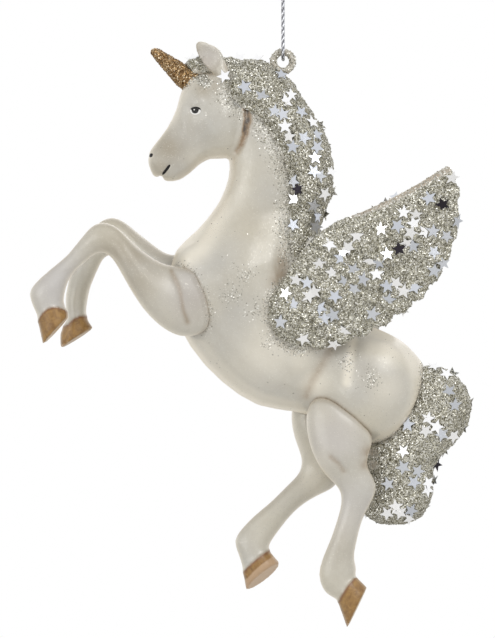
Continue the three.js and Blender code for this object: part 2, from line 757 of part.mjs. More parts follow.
function cordRoute() {
  const side = (STRAND_GAP + CORD_DIAMETER) / 2;
  const hook = (HOOK_OPENING + CORD_DIAMETER) / 2;
  const bight = EYE_THICKNESS / 2 + CORD_CLEARANCE + CORD_DIAMETER / 2;
  const bightZ = EYE_MID_RADIUS - CORD_DROP;
  const opened = (share) => THREE.MathUtils.lerp(side, hook, share);
  const closed = [0, 1 / 3, 2 / 3, 1].map((share) => {
    return [side, THREE.MathUtils.lerp(-LOOP_DEPTH, bightZ + STRAND_FOOT, share)];
  });
  const strand = [
    [side, -CORD_CLEARANCE],
    [opened(LOOP_SHOULDER), -HOOK_DEPTH / 3],
    [hook, -HOOK_DEPTH],
    [opened(LOOP_NECK), -(HOOK_DEPTH + LOOP_DEPTH) / 2],
    ...closed,
    [bight - BIGHT_PINCH, bightZ + BIGHT_RISE],
  ];
  const turn = [0, 0.25, 0.5, 0.75, 1].map((share) => {
    const angle = Math.PI * (1 + share);
    return [-bight * Math.cos(angle), bightZ + bight * Math.sin(angle)];
  });
  const down = strand.map(([y, z]) => new THREE.Vector3(0, -y, z));
  const under = turn.map(([y, z]) => new THREE.Vector3(0, -y, z));
  const up = strand.map(([y, z]) => new THREE.Vector3(0, y, z)).reverse();
  return new THREE.CatmullRomCurve3([...down, ...under, ...up]);
}

function cordGeometry() {
  const section = new THREE.Shape().absarc(0, 0, CORD_DIAMETER / 2, 0, 2 * Math.PI, false);
  return new THREE.ExtrudeGeometry(section, {
    extrudePath: cordRoute(),
    steps: CORD_STEPS,
    curveSegments: CORD_SEGMENTS,
    bevelEnabled: false,
  });
}

// Wraps of the knot, turned as one barrel, with the two cut ends of the cord standing out above
function knotForm() {
  const profile = new THREE.Path();
  const wrap = KNOT_HEIGHT / KNOT_WRAPS;
  const core = (KNOT_DIAMETER - wrap) / 2;
  profile.moveTo(0, 0);
  profile.lineTo(core, 0);
  for (let i = 0; i < KNOT_WRAPS; i++) {
    profile.absarc(core, (i + 0.5) * wrap, wrap / 2, -Math.PI / 2, Math.PI / 2, false);
  }
  profile.lineTo(0, KNOT_HEIGHT);
  const up = new THREE.Vector3(0, 0, 1);
  const wraps = new THREE.LatheGeometry(profile.getPoints(2), ROUND_SIDES);
  const barrel = solid(turned(wraps, new THREE.Vector3(), up));
  const ends = [-1, 1].map((side) => {
    const radius = CORD_DIAMETER / 2;
    const end = new THREE.CylinderGeometry(radius, radius, CORD_TAIL_LENGTH + radius, WIRE_SIDES);
    const way = new THREE.Vector3(0, side * CORD_TAIL_SPLAY, 1).normalize();
    const foot = new THREE.Vector3(0, (side * (STRAND_GAP + CORD_DIAMETER)) / 2, KNOT_HEIGHT - radius);
    return solid(turned(end, foot.addScaledVector(way, (CORD_TAIL_LENGTH + radius) / 2), way));
  });
  return join([barrel, ...ends]);
}

// Finishes

const finish = (color, roughness, metalness) =>
  new THREE.MeshStandardMaterial({ color, roughness, metalness });
const PEARL = finish(0xd6d0c0, 0.35, 0);
const GLITTER = finish(0xb8b2a4, 0.3, 0.5);
const GOLD_GLITTER = finish(0x8b7252, 0.35, 0.6);
const STEEL = finish(0x9a9a9a, 0.4, 1);
const SILVER_CORD = finish(0xb4b4b8, 0.4, 0.7);

// Assembly

const ornament = new THREE.Group();
ornament.position.z = -CORD_DROP;
const cord = new THREE.Group();

function addPiece(group, name, geometry, material) {
  const mesh = new THREE.Mesh(geometry, material);
  mesh.name = name;
  group.add(mesh);
}

const grownBody = bodyForm(GLUE_GAP);
const grownEye = eyeForm(GLUE_GAP);
const bodyPins = [TAIL_PIN, HORN_PIN];

for (const [side, name] of [
  [NEAR, 'near'],
  [FAR, 'far'],
]) {
  const pins = {
    [`${name}_foreleg_pin`]: forePin(side),
    [`${name}_hind_pin`]: hindPin(side),
    [`${name}_wing_front_pin`]: wingPin(side, WING_FRONT_PIN),
    [`${name}_wing_rear_pin`]: wingPin(side, WING_REAR_PIN),
  };
  const sockets = Object.values(pins).map(socket);
  const pieces = {
    [`${name}_foreleg`]: [foreForm(side), PEARL],
    [`${name}_hind_leg`]: [hindForm(side), PEARL],
    [`${name}_wing`]: [wingForm(side), GLITTER],
  };
  for (const [pieceName, [form, material]] of Object.entries(pieces)) {
    addPiece(ornament, pieceName, geometryOf(largest(cut(form, [grownBody, ...sockets]))), material);
  }
  for (const [pinName, pin] of Object.entries(pins)) {
    addPiece(ornament, pinName, pinGeometry(pin), STEEL);
    bodyPins.push(pin);
  }
}

const grownHindLegs = [NEAR, FAR].map((side) => hindForm(side, GLUE_GAP));
const tail = cut(tailForm(), [grownBody, ...grownHindLegs, socket(TAIL_PIN)]);
const mane = cut(maneForm(), [grownBody, grownEye, hornForm(GLUE_GAP)]);
const horn = cut(hornForm(), [grownBody, socket(HORN_PIN)]);
const body = cut(bodyForm(), [grownEye, ...bodyPins.map(socket)]);

addPiece(ornament, 'body_casting', geometryOf(largest(body)), PEARL);
addPiece(ornament, 'tail', geometryOf(largest(tail)), GLITTER);
addPiece(ornament, 'mane', geometryOf(largest(mane)), GLITTER);
addPiece(ornament, 'horn', geometryOf(largest(horn)), GOLD_GLITTER);
addPiece(ornament, 'hanging_eye', geometryOf(eyeForm()), GLITTER);
addPiece(ornament, 'tail_pin', pinGeometry(TAIL_PIN), STEEL);
addPiece(ornament, 'horn_pin', pinGeometry(HORN_PIN), STEEL);
addPiece(cord, 'hang_cord', cordGeometry(), SILVER_CORD);
addPiece(cord, 'cord_knot', geometryOf(knotForm()), SILVER_CORD);

const part = new THREE.Group();
part.add(cord, ornament);

export default part;
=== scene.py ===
"""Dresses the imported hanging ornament, a rearing winged horse with a horn, for its studio picture.

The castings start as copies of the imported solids, which are remeshed, smoothed and sculpted. Paint, glitter
and foil are node materials that read object coordinates and attributes worked out from the pieces themselves.
"""

import logging
import math
from dataclasses import dataclass
from enum import Enum
from functools import cache
from itertools import pairwise
from typing import Callable, Sequence, Union

import bpy
import numpy as np
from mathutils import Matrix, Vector
from mathutils.bvhtree import BVHTree
from mathutils.kdtree import KDTree


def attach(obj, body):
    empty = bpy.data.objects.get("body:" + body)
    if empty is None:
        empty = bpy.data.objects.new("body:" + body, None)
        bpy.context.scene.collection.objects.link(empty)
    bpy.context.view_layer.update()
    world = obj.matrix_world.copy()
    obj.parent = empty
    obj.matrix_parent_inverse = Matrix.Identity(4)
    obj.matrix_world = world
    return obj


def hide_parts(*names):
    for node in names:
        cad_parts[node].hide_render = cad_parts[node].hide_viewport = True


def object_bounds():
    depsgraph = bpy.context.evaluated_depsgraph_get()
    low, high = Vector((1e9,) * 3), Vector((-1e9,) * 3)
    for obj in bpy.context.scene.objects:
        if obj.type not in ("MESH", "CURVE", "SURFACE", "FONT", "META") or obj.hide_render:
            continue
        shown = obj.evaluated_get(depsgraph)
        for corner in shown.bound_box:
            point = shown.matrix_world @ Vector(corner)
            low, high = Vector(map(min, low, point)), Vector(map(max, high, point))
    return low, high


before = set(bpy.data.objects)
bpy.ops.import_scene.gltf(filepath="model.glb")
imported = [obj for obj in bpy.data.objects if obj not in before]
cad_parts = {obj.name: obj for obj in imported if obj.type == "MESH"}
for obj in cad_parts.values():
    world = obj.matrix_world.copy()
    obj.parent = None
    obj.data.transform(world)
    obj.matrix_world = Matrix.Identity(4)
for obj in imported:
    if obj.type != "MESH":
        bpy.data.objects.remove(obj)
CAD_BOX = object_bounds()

MM = 0.001
MERGE_REACH = 0.001 * MM
FACING_GAIN = 1.6
LOG = logging.getLogger("ornament")

Colour = tuple[float, float, float, float]
Pixel = tuple[float, float]
Feed = Union[bpy.types.NodeSocket, float, Colour]


class Side(Enum):
    """Which side of the ornament's middle plane a detail is on; the camera sees the near one."""

    NEAR = -1
    FAR = 1


class Body(Enum):
    """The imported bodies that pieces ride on."""

    CORD = "cord"
    ORNAMENT = "ornament"


class Slot(Enum):
    """The record's material slots."""

    PEARL = "pearl_paint"
    GLITTER = "glitter_coat"
    GOLD = "gold_glitter"
    WIRE = "pin_wire"
    CORD = "metallic_cord"


@dataclass(frozen=True)
class PhotoScale:
    """Turns a pixel of the photograph into a place on the ornament's middle plane, in metres."""

    width: int = 495
    height: int = 638
    pixel: float = 0.24 * MM
    eye: Pixel = (283.0, 61.5)
    eye_height: float = -36.0 * MM
    distance: float = 1.5

    def spot(self, pixel: Pixel) -> tuple[float, float]:
        """The x and z of a pixel."""
        across = (pixel[0] - self.eye[0]) * self.pixel
        return across, (self.eye[1] - pixel[1]) * self.pixel + self.eye_height

    def route(self, pixels: Sequence[Pixel]) -> np.ndarray:
        """The x and z of several pixels, as rows."""
        return np.array([self.spot(pixel) for pixel in pixels])

    def apart(self, points: np.ndarray, pixel: Pixel) -> np.ndarray:
        """How far each point is from a pixel's place, both seen from the side, in metres."""
        across, up = self.spot(pixel)
        return np.hypot(points[:, 0] - across, points[:, 2] - up)

    def lens(self) -> Vector:
        """Where the camera stands: level with the middle of the frame."""
        across, up = self.spot((self.width / 2, self.height / 2))
        return Vector((across, -self.distance, up))

    def sight(self, pixel: Pixel) -> Vector:
        """The direction in which the camera sees a pixel."""
        across, up = self.spot(pixel)
        return (Vector((across, 0.0, up)) - self.lens()).normalized()


PHOTO = PhotoScale()


def srgb(red: int, green: int, blue: int) -> Colour:
    """A display colour as the linear colour that shaders take.

    Args:
        red: Its red, 0 to 255.
        green: Its green.
        blue: Its blue.

    Returns:
        The linear colour, opaque.
    """
    shares = [channel / 255 for channel in (red, green, blue)]
    linear = [s / 12.92 if s <= 0.04045 else ((s + 0.055) / 1.055) ** 2.4 for s in shares]
    return (linear[0], linear[1], linear[2], 1.0)


def smoothstep(low: float, high: float, value: np.ndarray | float) -> np.ndarray:
    """A soft step from 0 at low to 1 at high; high may be the smaller one."""
    share = np.clip((value - low) / (high - low), 0, 1)
    return share * share * (3 - 2 * share)


def bell(distance: np.ndarray, reach: float) -> np.ndarray:
    """A soft fall from 1 at no distance to about a third at the reach."""
    return np.exp(-((distance / reach) ** 2))


def route_distance(points: np.ndarray, route: np.ndarray) -> np.ndarray:
    """How far each point is from a route, both seen from the side.

    Args:
        points: Rows of x, y and z.
        route: Rows of x and z.

    Returns:
        One distance for each point, in metres.
    """
    flat = points[:, [0, 2]]
    nearest = np.full(len(flat), np.inf)
    for start, end in zip(route[:-1], route[1:]):
        along = end - start
        share = np.clip((flat - start) @ along / (along @ along), 0, 1)
        nearest = np.minimum(nearest, np.linalg.norm(flat - start - share[:, None] * along, axis=1))
    return nearest


def activate(piece: bpy.types.Object) -> None:
    """Makes a piece the only selected object, and the active one.

    Args:
        piece: The object to work on.
    """
    bpy.ops.object.select_all(action="DESELECT")
    piece.select_set(True)
    bpy.context.view_layer.objects.active = piece


def apply_modifier(piece: bpy.types.Object, kind: str, **settings: object) -> None:
    """Adds a modifier to a piece and applies it.

    Args:
        piece: The object to change.
        kind: Blender's name for the modifier's type.
        **settings: The modifier's values.
    """
    activate(piece)
    modifier = piece.modifiers.new(kind.title(), kind)
    for name, value in settings.items():
        setattr(modifier, name, value)
    bpy.ops.object.modifier_apply(modifier=modifier.name)


def edit_all(piece: bpy.types.Object) -> None:
    """Opens a piece in edit mode with all of it selected.

    Args:
        piece: The object to edit.
    """
    activate(piece)
    bpy.ops.object.mode_set(mode="EDIT")
    bpy.ops.mesh.select_all(action="SELECT")


def merge_points(piece: bpy.types.Object) -> None:
    """Merges the points of a piece that lie on one another.

    Args:
        piece: The object to change.
    """
    edit_all(piece)
    bpy.ops.mesh.remove_doubles(threshold=MERGE_REACH)
    bpy.ops.object.mode_set(mode="OBJECT")


def copy_of_node(node: str, name: str) -> bpy.types.Object:
    """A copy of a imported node's mesh, with its loose triangles merged.

    Args:
        node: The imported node.
        name: The new piece's name.

    Returns:
        The new object, at the origin.
    """
    piece = bpy.data.objects.new(name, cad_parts[node].data.copy())
    piece.data.name = name
    piece.data.materials.clear()
    bpy.context.scene.collection.objects.link(piece)
    merge_points(piece)
    return piece


def new_piece(name: str, points: np.ndarray, faces: Sequence[Sequence[int]]) -> bpy.types.Object:
    """A piece from points and faces, shaded smooth.

    Args:
        name: The piece's name.
        points: Rows of x, y and z, in metres.
        faces: The point numbers of each face.

    Returns:
        The new object, at the origin.
    """
    mesh = bpy.data.meshes.new(name)
    mesh.from_pydata(points, [], faces)
    mesh.update()
    mesh.shade_smooth()
    piece = bpy.data.objects.new(name, mesh)
    bpy.context.scene.collection.objects.link(piece)
    return piece


def write_attributes(piece: bpy.types.Object, **layers: np.ndarray | float) -> None:
    """Stores numbers on the points of a piece.

    Args:
        piece: The object to store them on.
        **layers: Under each name, a number for each point or one for them all.
    """
    count = len(piece.data.vertices)
    for name, values in layers.items():
        attribute = piece.data.attributes.new(name, "FLOAT", "POINT")
        attribute.data.foreach_set("value", np.full(count, values, dtype=np.float32))


def read_rows(items: bpy.types.bpy_prop_collection, name: str, width: int, kind: type) -> np.ndarray:
    """Reads a property of every item in one of a mesh's lists.

    Args:
        items: The list, such as the mesh's points.
        name: The property.
        width: How many numbers it has for each item.
        kind: The type of its numbers.

    Returns:
        One row for each item.
    """
    rows = np.empty(len(items) * width, dtype=kind)
    items.foreach_get(name, rows)
    return rows.reshape(-1, width)


def fit_piece(
    piece: bpy.types.Object,
    body: Body,
    materials: Sequence[bpy.types.Material],
    replaced: Sequence[str] = (),
) -> None:
    """Dresses a finished piece, makes it ride on its body and reports it.

    Args:
        piece: The finished object.
        body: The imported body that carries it.
        materials: The materials, in slot order.
        replaced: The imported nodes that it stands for.
    """
    piece.data.materials.clear()
    for material in materials:
        piece.data.materials.append(material)
    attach(piece, body.value)
    if replaced:
        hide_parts(*replaced)
    LOG.info("%s: %d faces, rides on %s", piece.name, len(piece.data.polygons), body.value)


@dataclass(frozen=True)
class Mound:
    """A soft swelling of the clay, or with a height below 0 a hollow; lengths in metres."""

    pixel: Pixel
    radius: float
    height: float


@dataclass(frozen=True)
class Groove:
    """A soft groove along a route; half its width and its depth in metres."""

    pixels: tuple[Pixel, ...]
    width: float
    depth: float


class Clay:
    """A piece's points, moved in code as a sculptor would move them."""

    def __init__(self, piece: bpy.types.Object) -> None:
        """Takes the points and edges of a piece.

        Args:
            piece: The object to sculpt.
        """
        self.piece = piece
        self.points = read_rows(piece.data.vertices, "co", 3, float)
        self.edges = read_rows(piece.data.edges, "vertices", 2, np.int32)

    def store(self) -> None:
        """Writes the points back to the piece."""
        self.piece.data.vertices.foreach_set("co", self.points.ravel())
        self.piece.data.update()

    def normals(self) -> np.ndarray:
        """The outward direction at each point."""
        self.store()
        return read_rows(self.piece.data.vertex_normals, "vector", 3, np.float32).astype(float)

    def averaged(self, values: np.ndarray, passes: int, weight: np.ndarray | float) -> np.ndarray:
        """Rows of numbers, one row a point, each drawn towards the mean of its neighbours.

        Args:
            values: The rows.
            passes: How many times.
            weight: How freely each point's row changes, 0 to 1.

        Returns:
            The smoothed rows.
        """
        count = len(values)
        first, second = self.edges.T
        degree = np.bincount(self.edges.ravel(), minlength=count)[:, None]
        step = 0.5 * np.broadcast_to(np.asarray(weight, dtype=float), (count,))[:, None]
        smoothed = values.copy()
        for _ in range(passes):
            total = np.empty_like(smoothed)
            for axis in range(smoothed.shape[1]):
                column = smoothed[:, axis]
                total[:, axis] = np.bincount(first, column[second], count)
                total[:, axis] += np.bincount(second, column[first], count)
            smoothed += step * (total / degree - smoothed)
        return smoothed

    def relax(self, passes: int, weight: np.ndarray | float = 1.0) -> None:
        """Smooths the piece, then gives back the broad form that smoothing shrank.

        Args:
            passes: How many times each point moves towards its neighbours.
            weight: How freely each point moves, 0 to 1.
        """
        smooth = self.averaged(self.points, passes, weight)
        self.points = smooth + self.averaged(self.points - smooth, passes, weight)

    def refit(self, solid: BVHTree, passes: int) -> None:
        """Brings a smoothed surface back out to the solid it came from, without that solid's facets.

        Args:
            solid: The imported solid's search tree.
            passes: How broadly the distances to it are evened out.
        """
        normals = self.normals()
        short = np.empty((len(self.points), 1))
        for i, (point, normal) in enumerate(zip(self.points, normals)):
            short[i] = (np.array(solid.find_nearest(point)[0]) - point) @ normal
        self.push(self.averaged(short, passes, 1.0)[:, 0])

    def settle(self, skins: Sequence[BVHTree], reach: float, depth: float) -> None:
        """Feathers the rim of a piece down on to the skins that it seats against, so that no gap shows.

        Args:
            skins: The other skins' search trees.
            reach: The height over a skin up to which points are lowered, in metres.
            depth: How far under the skin the lowest points end, in metres.
        """
        for skin in skins:
            for i, point in enumerate(self.points):
                hit, normal, _, height = skin.find_nearest(point, reach)
                if hit is not None and (Vector(point) - hit).dot(normal) > 0:
                    share = height / reach
                    self.points[i] += np.array(normal) * (height * share - depth * (1 - share) - height)

    def push(self, amount: np.ndarray) -> None:
        """Moves each point outwards by its own amount, in metres."""
        self.points += self.normals() * amount[:, None]

    def facing(self) -> np.ndarray:
        """How squarely each point faces either side of the figure, 0 to 1."""
        return np.clip(FACING_GAIN * np.abs(self.normals()[:, 1]), 0, 1)

    def swell(self, mound: Mound) -> None:
        """Raises a mound on both sides."""
        distance = PHOTO.apart(self.points, mound.pixel)
        self.push(mound.height * bell(distance, mound.radius) * self.facing())

    def groove(self, groove: Groove) -> None:
        """Presses a groove on both sides."""
        distance = route_distance(self.points, PHOTO.route(groove.pixels))
        self.push(-groove.depth * bell(distance, groove.width) * self.facing())


class Bench:
    """Adds and joins shader nodes in one tree."""

    def __init__(self, tree: bpy.types.NodeTree) -> None:
        """Takes the tree to work on."""
        self.tree = tree

    def add(self, kind: str, settings: dict | None = None, inputs: dict | None = None) -> bpy.types.Node:
        """Adds one node.

        Args:
            kind: Blender's name for the node's type.
            settings: The node's own values.
            inputs: A socket or a number for each named or numbered input.

        Returns:
            The new node.
        """
        node = self.tree.nodes.new(kind)
        for name, value in (settings or {}).items():
            setattr(node, name, value)
        self.fill(node, inputs or {})
        return node

    def fill(self, node: bpy.types.Node, inputs: dict) -> None:
        """Feeds several inputs of a node, each by its name or number."""
        for name, value in inputs.items():
            self.feed(node.inputs[name], value)

    def feed(self, socket: bpy.types.NodeSocket, value: Feed) -> None:
        """Links a socket into another, or sets a plain value on it.

        Args:
            socket: The input to feed.
            value: The output to link to it, or the value to set.
        """
        if isinstance(value, bpy.types.NodeSocket):
            self.tree.links.new(value, socket)
        else:
            socket.default_value = value

    def mix(self, share: Feed, first: Feed, second: Feed) -> bpy.types.NodeSocket:
        """A colour between two colours."""
        node = self.add("ShaderNodeMix", {"data_type": "RGBA"}, {0: share, 6: first, 7: second})
        return node.outputs[2]

    def math(
        self, operation: str, first: Feed, second: Feed = 0.0, clamp: bool = False
    ) -> bpy.types.NodeSocket:
        """One sum on two numbers."""
        settings = {"operation": operation, "use_clamp": clamp}
        return self.add("ShaderNodeMath", settings, {0: first, 1: second}).outputs[0]

    def vector(self, operation: str, inputs: dict) -> bpy.types.NodeSocket:
        """One sum on vectors."""
        return self.add("ShaderNodeVectorMath", {"operation": operation}, inputs).outputs[0]

    def span(
        self, value: Feed, low: float, high: float, to_low: float, to_high: float
    ) -> bpy.types.NodeSocket:
        """A number carried from one range to another, and held inside it."""
        inputs = {"Value": value, "From Min": low, "From Max": high, "To Min": to_low, "To Max": to_high}
        return self.add("ShaderNodeMapRange", None, inputs).outputs[0]

    def ramp(self, value: Feed, stops: Sequence[tuple[float, Colour]]) -> bpy.types.NodeSocket:
        """A colour for a number from 0 to 1.

        Args:
            value: The number.
            stops: Each colour with its place.

        Returns:
            The colour socket.
        """
        node = self.add("ShaderNodeValToRGB", None, {"Fac": value})
        elements = node.color_ramp.elements
        while len(elements) < len(stops):
            elements.new(1.0)
        for element, (place, colour) in zip(elements, stops):
            element.position = place
            element.color = colour
        return node.outputs["Color"]

    def attribute(self, name: str) -> bpy.types.NodeSocket:
        """The number that a piece stores under a name."""
        return self.add("ShaderNodeAttribute", {"attribute_name": name}).outputs["Fac"]

    def place(self) -> bpy.types.NodeSocket:
        """Object coordinates."""
        return self.add("ShaderNodeTexCoord").outputs["Object"]

    def noise(self, scale: float, detail: float = 2.0) -> bpy.types.NodeSocket:
        """Cloudy noise from 0 to 1; the scale is in waves a metre."""
        inputs = {"Vector": self.place(), "Scale": scale, "Detail": detail}
        return self.add("ShaderNodeTexNoise", None, inputs).outputs[0]

    def group(self, tree: bpy.types.NodeTree, inputs: dict[str, float]) -> bpy.types.bpy_prop_collection:
        """Places a shared group over object coordinates, and gives its outputs."""
        fed = {"Vector": self.place(), **inputs}
        return self.add("ShaderNodeGroup", {"node_tree": tree}, fed).outputs

    def bump(self, strength: float, depth: float, height: Feed, **more: Feed) -> bpy.types.NodeSocket:
        """The normal of a surface that a height raises; the depth is in metres."""
        inputs = {"Strength": strength, "Distance": depth, "Height": height, **more}
        return self.add("ShaderNodeBump", None, inputs).outputs[0]


def start_group(name: str, takes: dict[str, str], gives: dict[str, str]) -> tuple[bpy.types.NodeTree, Bench]:
    """Starts a shared node group.

    Args:
        name: The group's name.
        takes: The kind of each named input.
        gives: The kind of each named output.

    Returns:
        The group's tree, and a bench to work on it.
    """
    tree = bpy.data.node_groups.new(name, "ShaderNodeTree")
    for way, sockets in (("INPUT", takes), ("OUTPUT", gives)):
        for socket, kind in sockets.items():
            tree.interface.new_socket(name=socket, in_out=way, socket_type=f"NodeSocket{kind}")
    return tree, Bench(tree)


@cache
def flake_field() -> bpy.types.NodeTree:
    """The shared glitter group: each cell of the surface is one flake with its own tone and tilt.

    Returns:
        The group's tree.
    """
    tree, bench = start_group(
        "Flake field",
        {"Vector": "Vector", "Flakes a metre": "Float", "Tilt": "Float"},
        {"Tone": "Float", "Pick": "Float", "Normal": "Vector"},
    )
    entry = bench.add("NodeGroupInput").outputs
    spread = {"Vector": entry["Vector"], "Scale": entry["Flakes a metre"]}
    cells = bench.add("ShaderNodeTexVoronoi", None, spread).outputs["Color"]
    parts = bench.add("ShaderNodeSeparateColor", None, {"Color": cells}).outputs
    centred = bench.vector("SUBTRACT", {0: cells, 1: (0.5, 0.5, 0.5)})
    leaning = bench.vector("SCALE", {0: centred, "Scale": entry["Tilt"]})
    straight = bench.add("ShaderNodeNewGeometry").outputs["Normal"]
    tilted = bench.vector("ADD", {0: leaning, 1: straight})
    unit = bench.vector("NORMALIZE", {0: tilted})
    bench.add("NodeGroupOutput", None, {"Tone": parts["Red"], "Pick": parts["Green"], "Normal": unit})
    return tree


@cache
def paint_drift() -> bpy.types.NodeTree:
    """The shared paint group: broad clouds and fine brush streaks, both from 0 to 1.

    Returns:
        The group's tree.
    """
    tree, bench = start_group(
        "Paint drift",
        {"Vector": "Vector", "Clouds a metre": "Float", "Streaks a metre": "Float"},
        {"Cloud": "Float", "Streak": "Float"},
    )
    entry = bench.add("NodeGroupInput").outputs
    broad = {"Scale": entry["Clouds a metre"], "Detail": 2.0, "Roughness": 0.4}
    fine = {"Scale": entry["Streaks a metre"], "Detail": 3.0, "Distortion": 0.6}
    waves = [
        bench.add("ShaderNodeTexNoise", None, {"Vector": entry["Vector"], **values}).outputs[0]
        for values in (broad, fine)
    ]
    cloud = bench.span(waves[0], 0.32, 0.68, 0.0, 1.0)
    streak = bench.span(waves[1], 0.3, 0.7, 0.0, 1.0)
    bench.add("NodeGroupOutput", None, {"Cloud": cloud, "Streak": streak})
    return tree


def new_material(name: str) -> tuple[bpy.types.Material, Bench, bpy.types.Node]:
    """An empty node material.

    Args:
        name: The material's name.

    Returns:
        The material, the bench for its tree, and its Principled BSDF.
    """
    material = bpy.data.materials.new(name)
    material.use_nodes = True
    material.node_tree.nodes.clear()
    bench = Bench(material.node_tree)
    shader = bench.add("ShaderNodeBsdfPrincipled")
    bench.add("ShaderNodeOutputMaterial", None, {"Surface": shader.outputs[0]})
    return material, bench, shader


@dataclass(frozen=True)
class PearlPaint:
    """Cream pearl paint with mica in it, antiqued in the creases, with painted hooves, painted shade in the
    creases, the ear cups and on the legs' tops, and a painted warm highlight along the outline and on listed
    spots.
    """

    name: str = "pearl paint"
    cream: Colour = srgb(199, 193, 177)
    cool: Colour = srgb(187, 184, 176)
    # The colour of the painted highlight along the outline and on listed spots.
    highlight_cream: Colour = srgb(235, 228, 212)
    # Tan and umber carry the antiquing and the painted shade in creases.
    tan: Colour = srgb(140, 115, 84)
    umber: Colour = srgb(62, 49, 34)
    bronze: Colour = srgb(162, 124, 67)
    bronze_dark: Colour = srgb(124, 89, 42)
    russet: Colour = srgb(112, 66, 38)
    sole: Colour = srgb(182, 152, 120)
    shade: Colour = srgb(154, 143, 123)
    lilac: Colour = srgb(190, 186, 186)
    mica: Colour = srgb(244, 240, 230)
    dust_dark: Colour = srgb(132, 127, 114)
    dust_grey: Colour = srgb(166, 163, 152)
    dust_light: Colour = srgb(226, 224, 216)
    sheen_tint: Colour = srgb(255, 236, 205)
    clouds: float = 62.0
    streaks: float = 820.0
    streak_share: float = 0.14
    wear: tuple[float, float] = (0.7, 1.15)
    mica_cells: float = 8200.0
    mica_tilt: float = 0.5
    mica_share: float = 0.024
    glint: float = 0.35
    dust_cells: float = 3900.0
    dust_tilt: float = 1.1
    metal: float = 0.35
    roughness: tuple[float, float] = (0.34, 0.46)
    shade_roughness: float = 0.2
    shine_polish: float = 0.12
    streak_bump: float = 0.18
    streak_depth: float = 0.1 * MM
    coat: tuple[float, float] = (0.8, 0.35)
    shade_coat: float = 0.2
    coat_roughness: float = 0.28
    sheen: float = 0.4
    sheen_roughness: float = 0.4

    def build(self) -> bpy.types.Material:
        """Builds the material.

        Returns:
            The paint; it reads the attributes rim, antique, hoof, coronet, sole, shade, cold and dust.
        """
        material, bench, shader = new_material(self.name)
        drift = bench.group(paint_drift(), {"Clouds a metre": self.clouds, "Streaks a metre": self.streaks})
        mica = bench.group(flake_field(), {"Flakes a metre": self.mica_cells, "Tilt": self.mica_tilt})
        dust = bench.group(flake_field(), {"Flakes a metre": self.dust_cells, "Tilt": self.dust_tilt})
        hoof, shade = bench.attribute("hoof"), bench.attribute("shade")
        glint = bench.math("GREATER_THAN", mica["Pick"], 1 - self.mica_share)
        speckled = bench.math("GREATER_THAN", bench.attribute("dust"), dust["Pick"])

        colour = bench.mix(drift["Cloud"], self.cream, self.cool)
        colour = bench.mix(bench.span(drift["Streak"], 0.0, 1.0, 0.0, self.streak_share), colour, self.shade)
        # Painted highlight: warm cream where the rim attribute says, along the outline and on listed spots.
        colour = bench.mix(bench.attribute("rim"), colour, self.highlight_cream)
        # Shade colour: painted shade in the ear cups, in the shoulder fold and on the legs' up-facing tops,
        # and grey washes on the face, ear, chest, neck, haunch and legs.
        colour = bench.mix(shade, colour, self.shade)
        colour = bench.mix(bench.attribute("cold"), colour, self.lilac)
        brush = bench.span(drift["Streak"], 0, 1, *self.wear)
        # Tan antiquing and stains, with painted shade in the creases and on the body beside the wings, tail
        # and mane; past 1, in the cheek groove, it turns umber.
        worn = bench.math("MULTIPLY", bench.attribute("antique"), brush)
        colour = bench.mix(bench.math("MINIMUM", worn, 1.0), colour, self.tan)
        colour = bench.mix(bench.math("SUBTRACT", worn, 1.0, clamp=True), colour, self.umber)
        # Mica: a few cells made paler as well as shinier, partly the flakes' own colour and partly a painted
        # glint.
        colour = bench.mix(bench.math("MULTIPLY", glint, self.glint), colour, self.mica)
        horny = bench.mix(drift["Streak"], self.bronze_dark, self.bronze)
        horny = bench.mix(bench.attribute("sole"), horny, self.sole)
        horny = bench.mix(bench.attribute("coronet"), horny, self.russet)
        colour = bench.mix(hoof, colour, horny)
        grains = [(0.0, self.dust_dark), (0.5, self.dust_grey), (1.0, self.dust_light)]
        colour = bench.mix(speckled, colour, bench.ramp(dust["Tone"], grains))

        bare = bench.math("SUBTRACT", 1.0, hoof)
        shining = bench.math("MAXIMUM", bench.math("MULTIPLY", glint, bare), speckled)
        dull = bench.math("MULTIPLY", shade, self.shade_roughness)
        rough = bench.math("ADD", bench.span(drift["Cloud"], 0.0, 1.0, *self.roughness), dull)
        polish = bench.math("MULTIPLY", shining, self.shine_polish)
        straight = bench.add("ShaderNodeNewGeometry").outputs["Normal"]
        leaning = {0: speckled, 4: straight, 5: dust["Normal"]}
        tilted = bench.add("ShaderNodeMix", {"data_type": "VECTOR"}, leaning).outputs[1]
        matt = bench.span(shade, 0.0, 1.0, 1.0, self.shade_coat)
        bench.fill(shader, {
            "Base Color": colour,
            "Metallic": bench.math("MULTIPLY", shining, self.metal),
            "Roughness": bench.math("SUBTRACT", rough, polish),
            "Normal": bench.bump(self.streak_bump, self.streak_depth, drift["Streak"], Normal=tilted),
            "Coat Weight": bench.math("MULTIPLY", bench.span(hoof, 0.0, 1.0, *self.coat), matt),
            "Coat Roughness": self.coat_roughness,
            "Sheen Weight": self.sheen,
            "Sheen Roughness": self.sheen_roughness,
            "Sheen Tint": self.sheen_tint,
        })
        return material


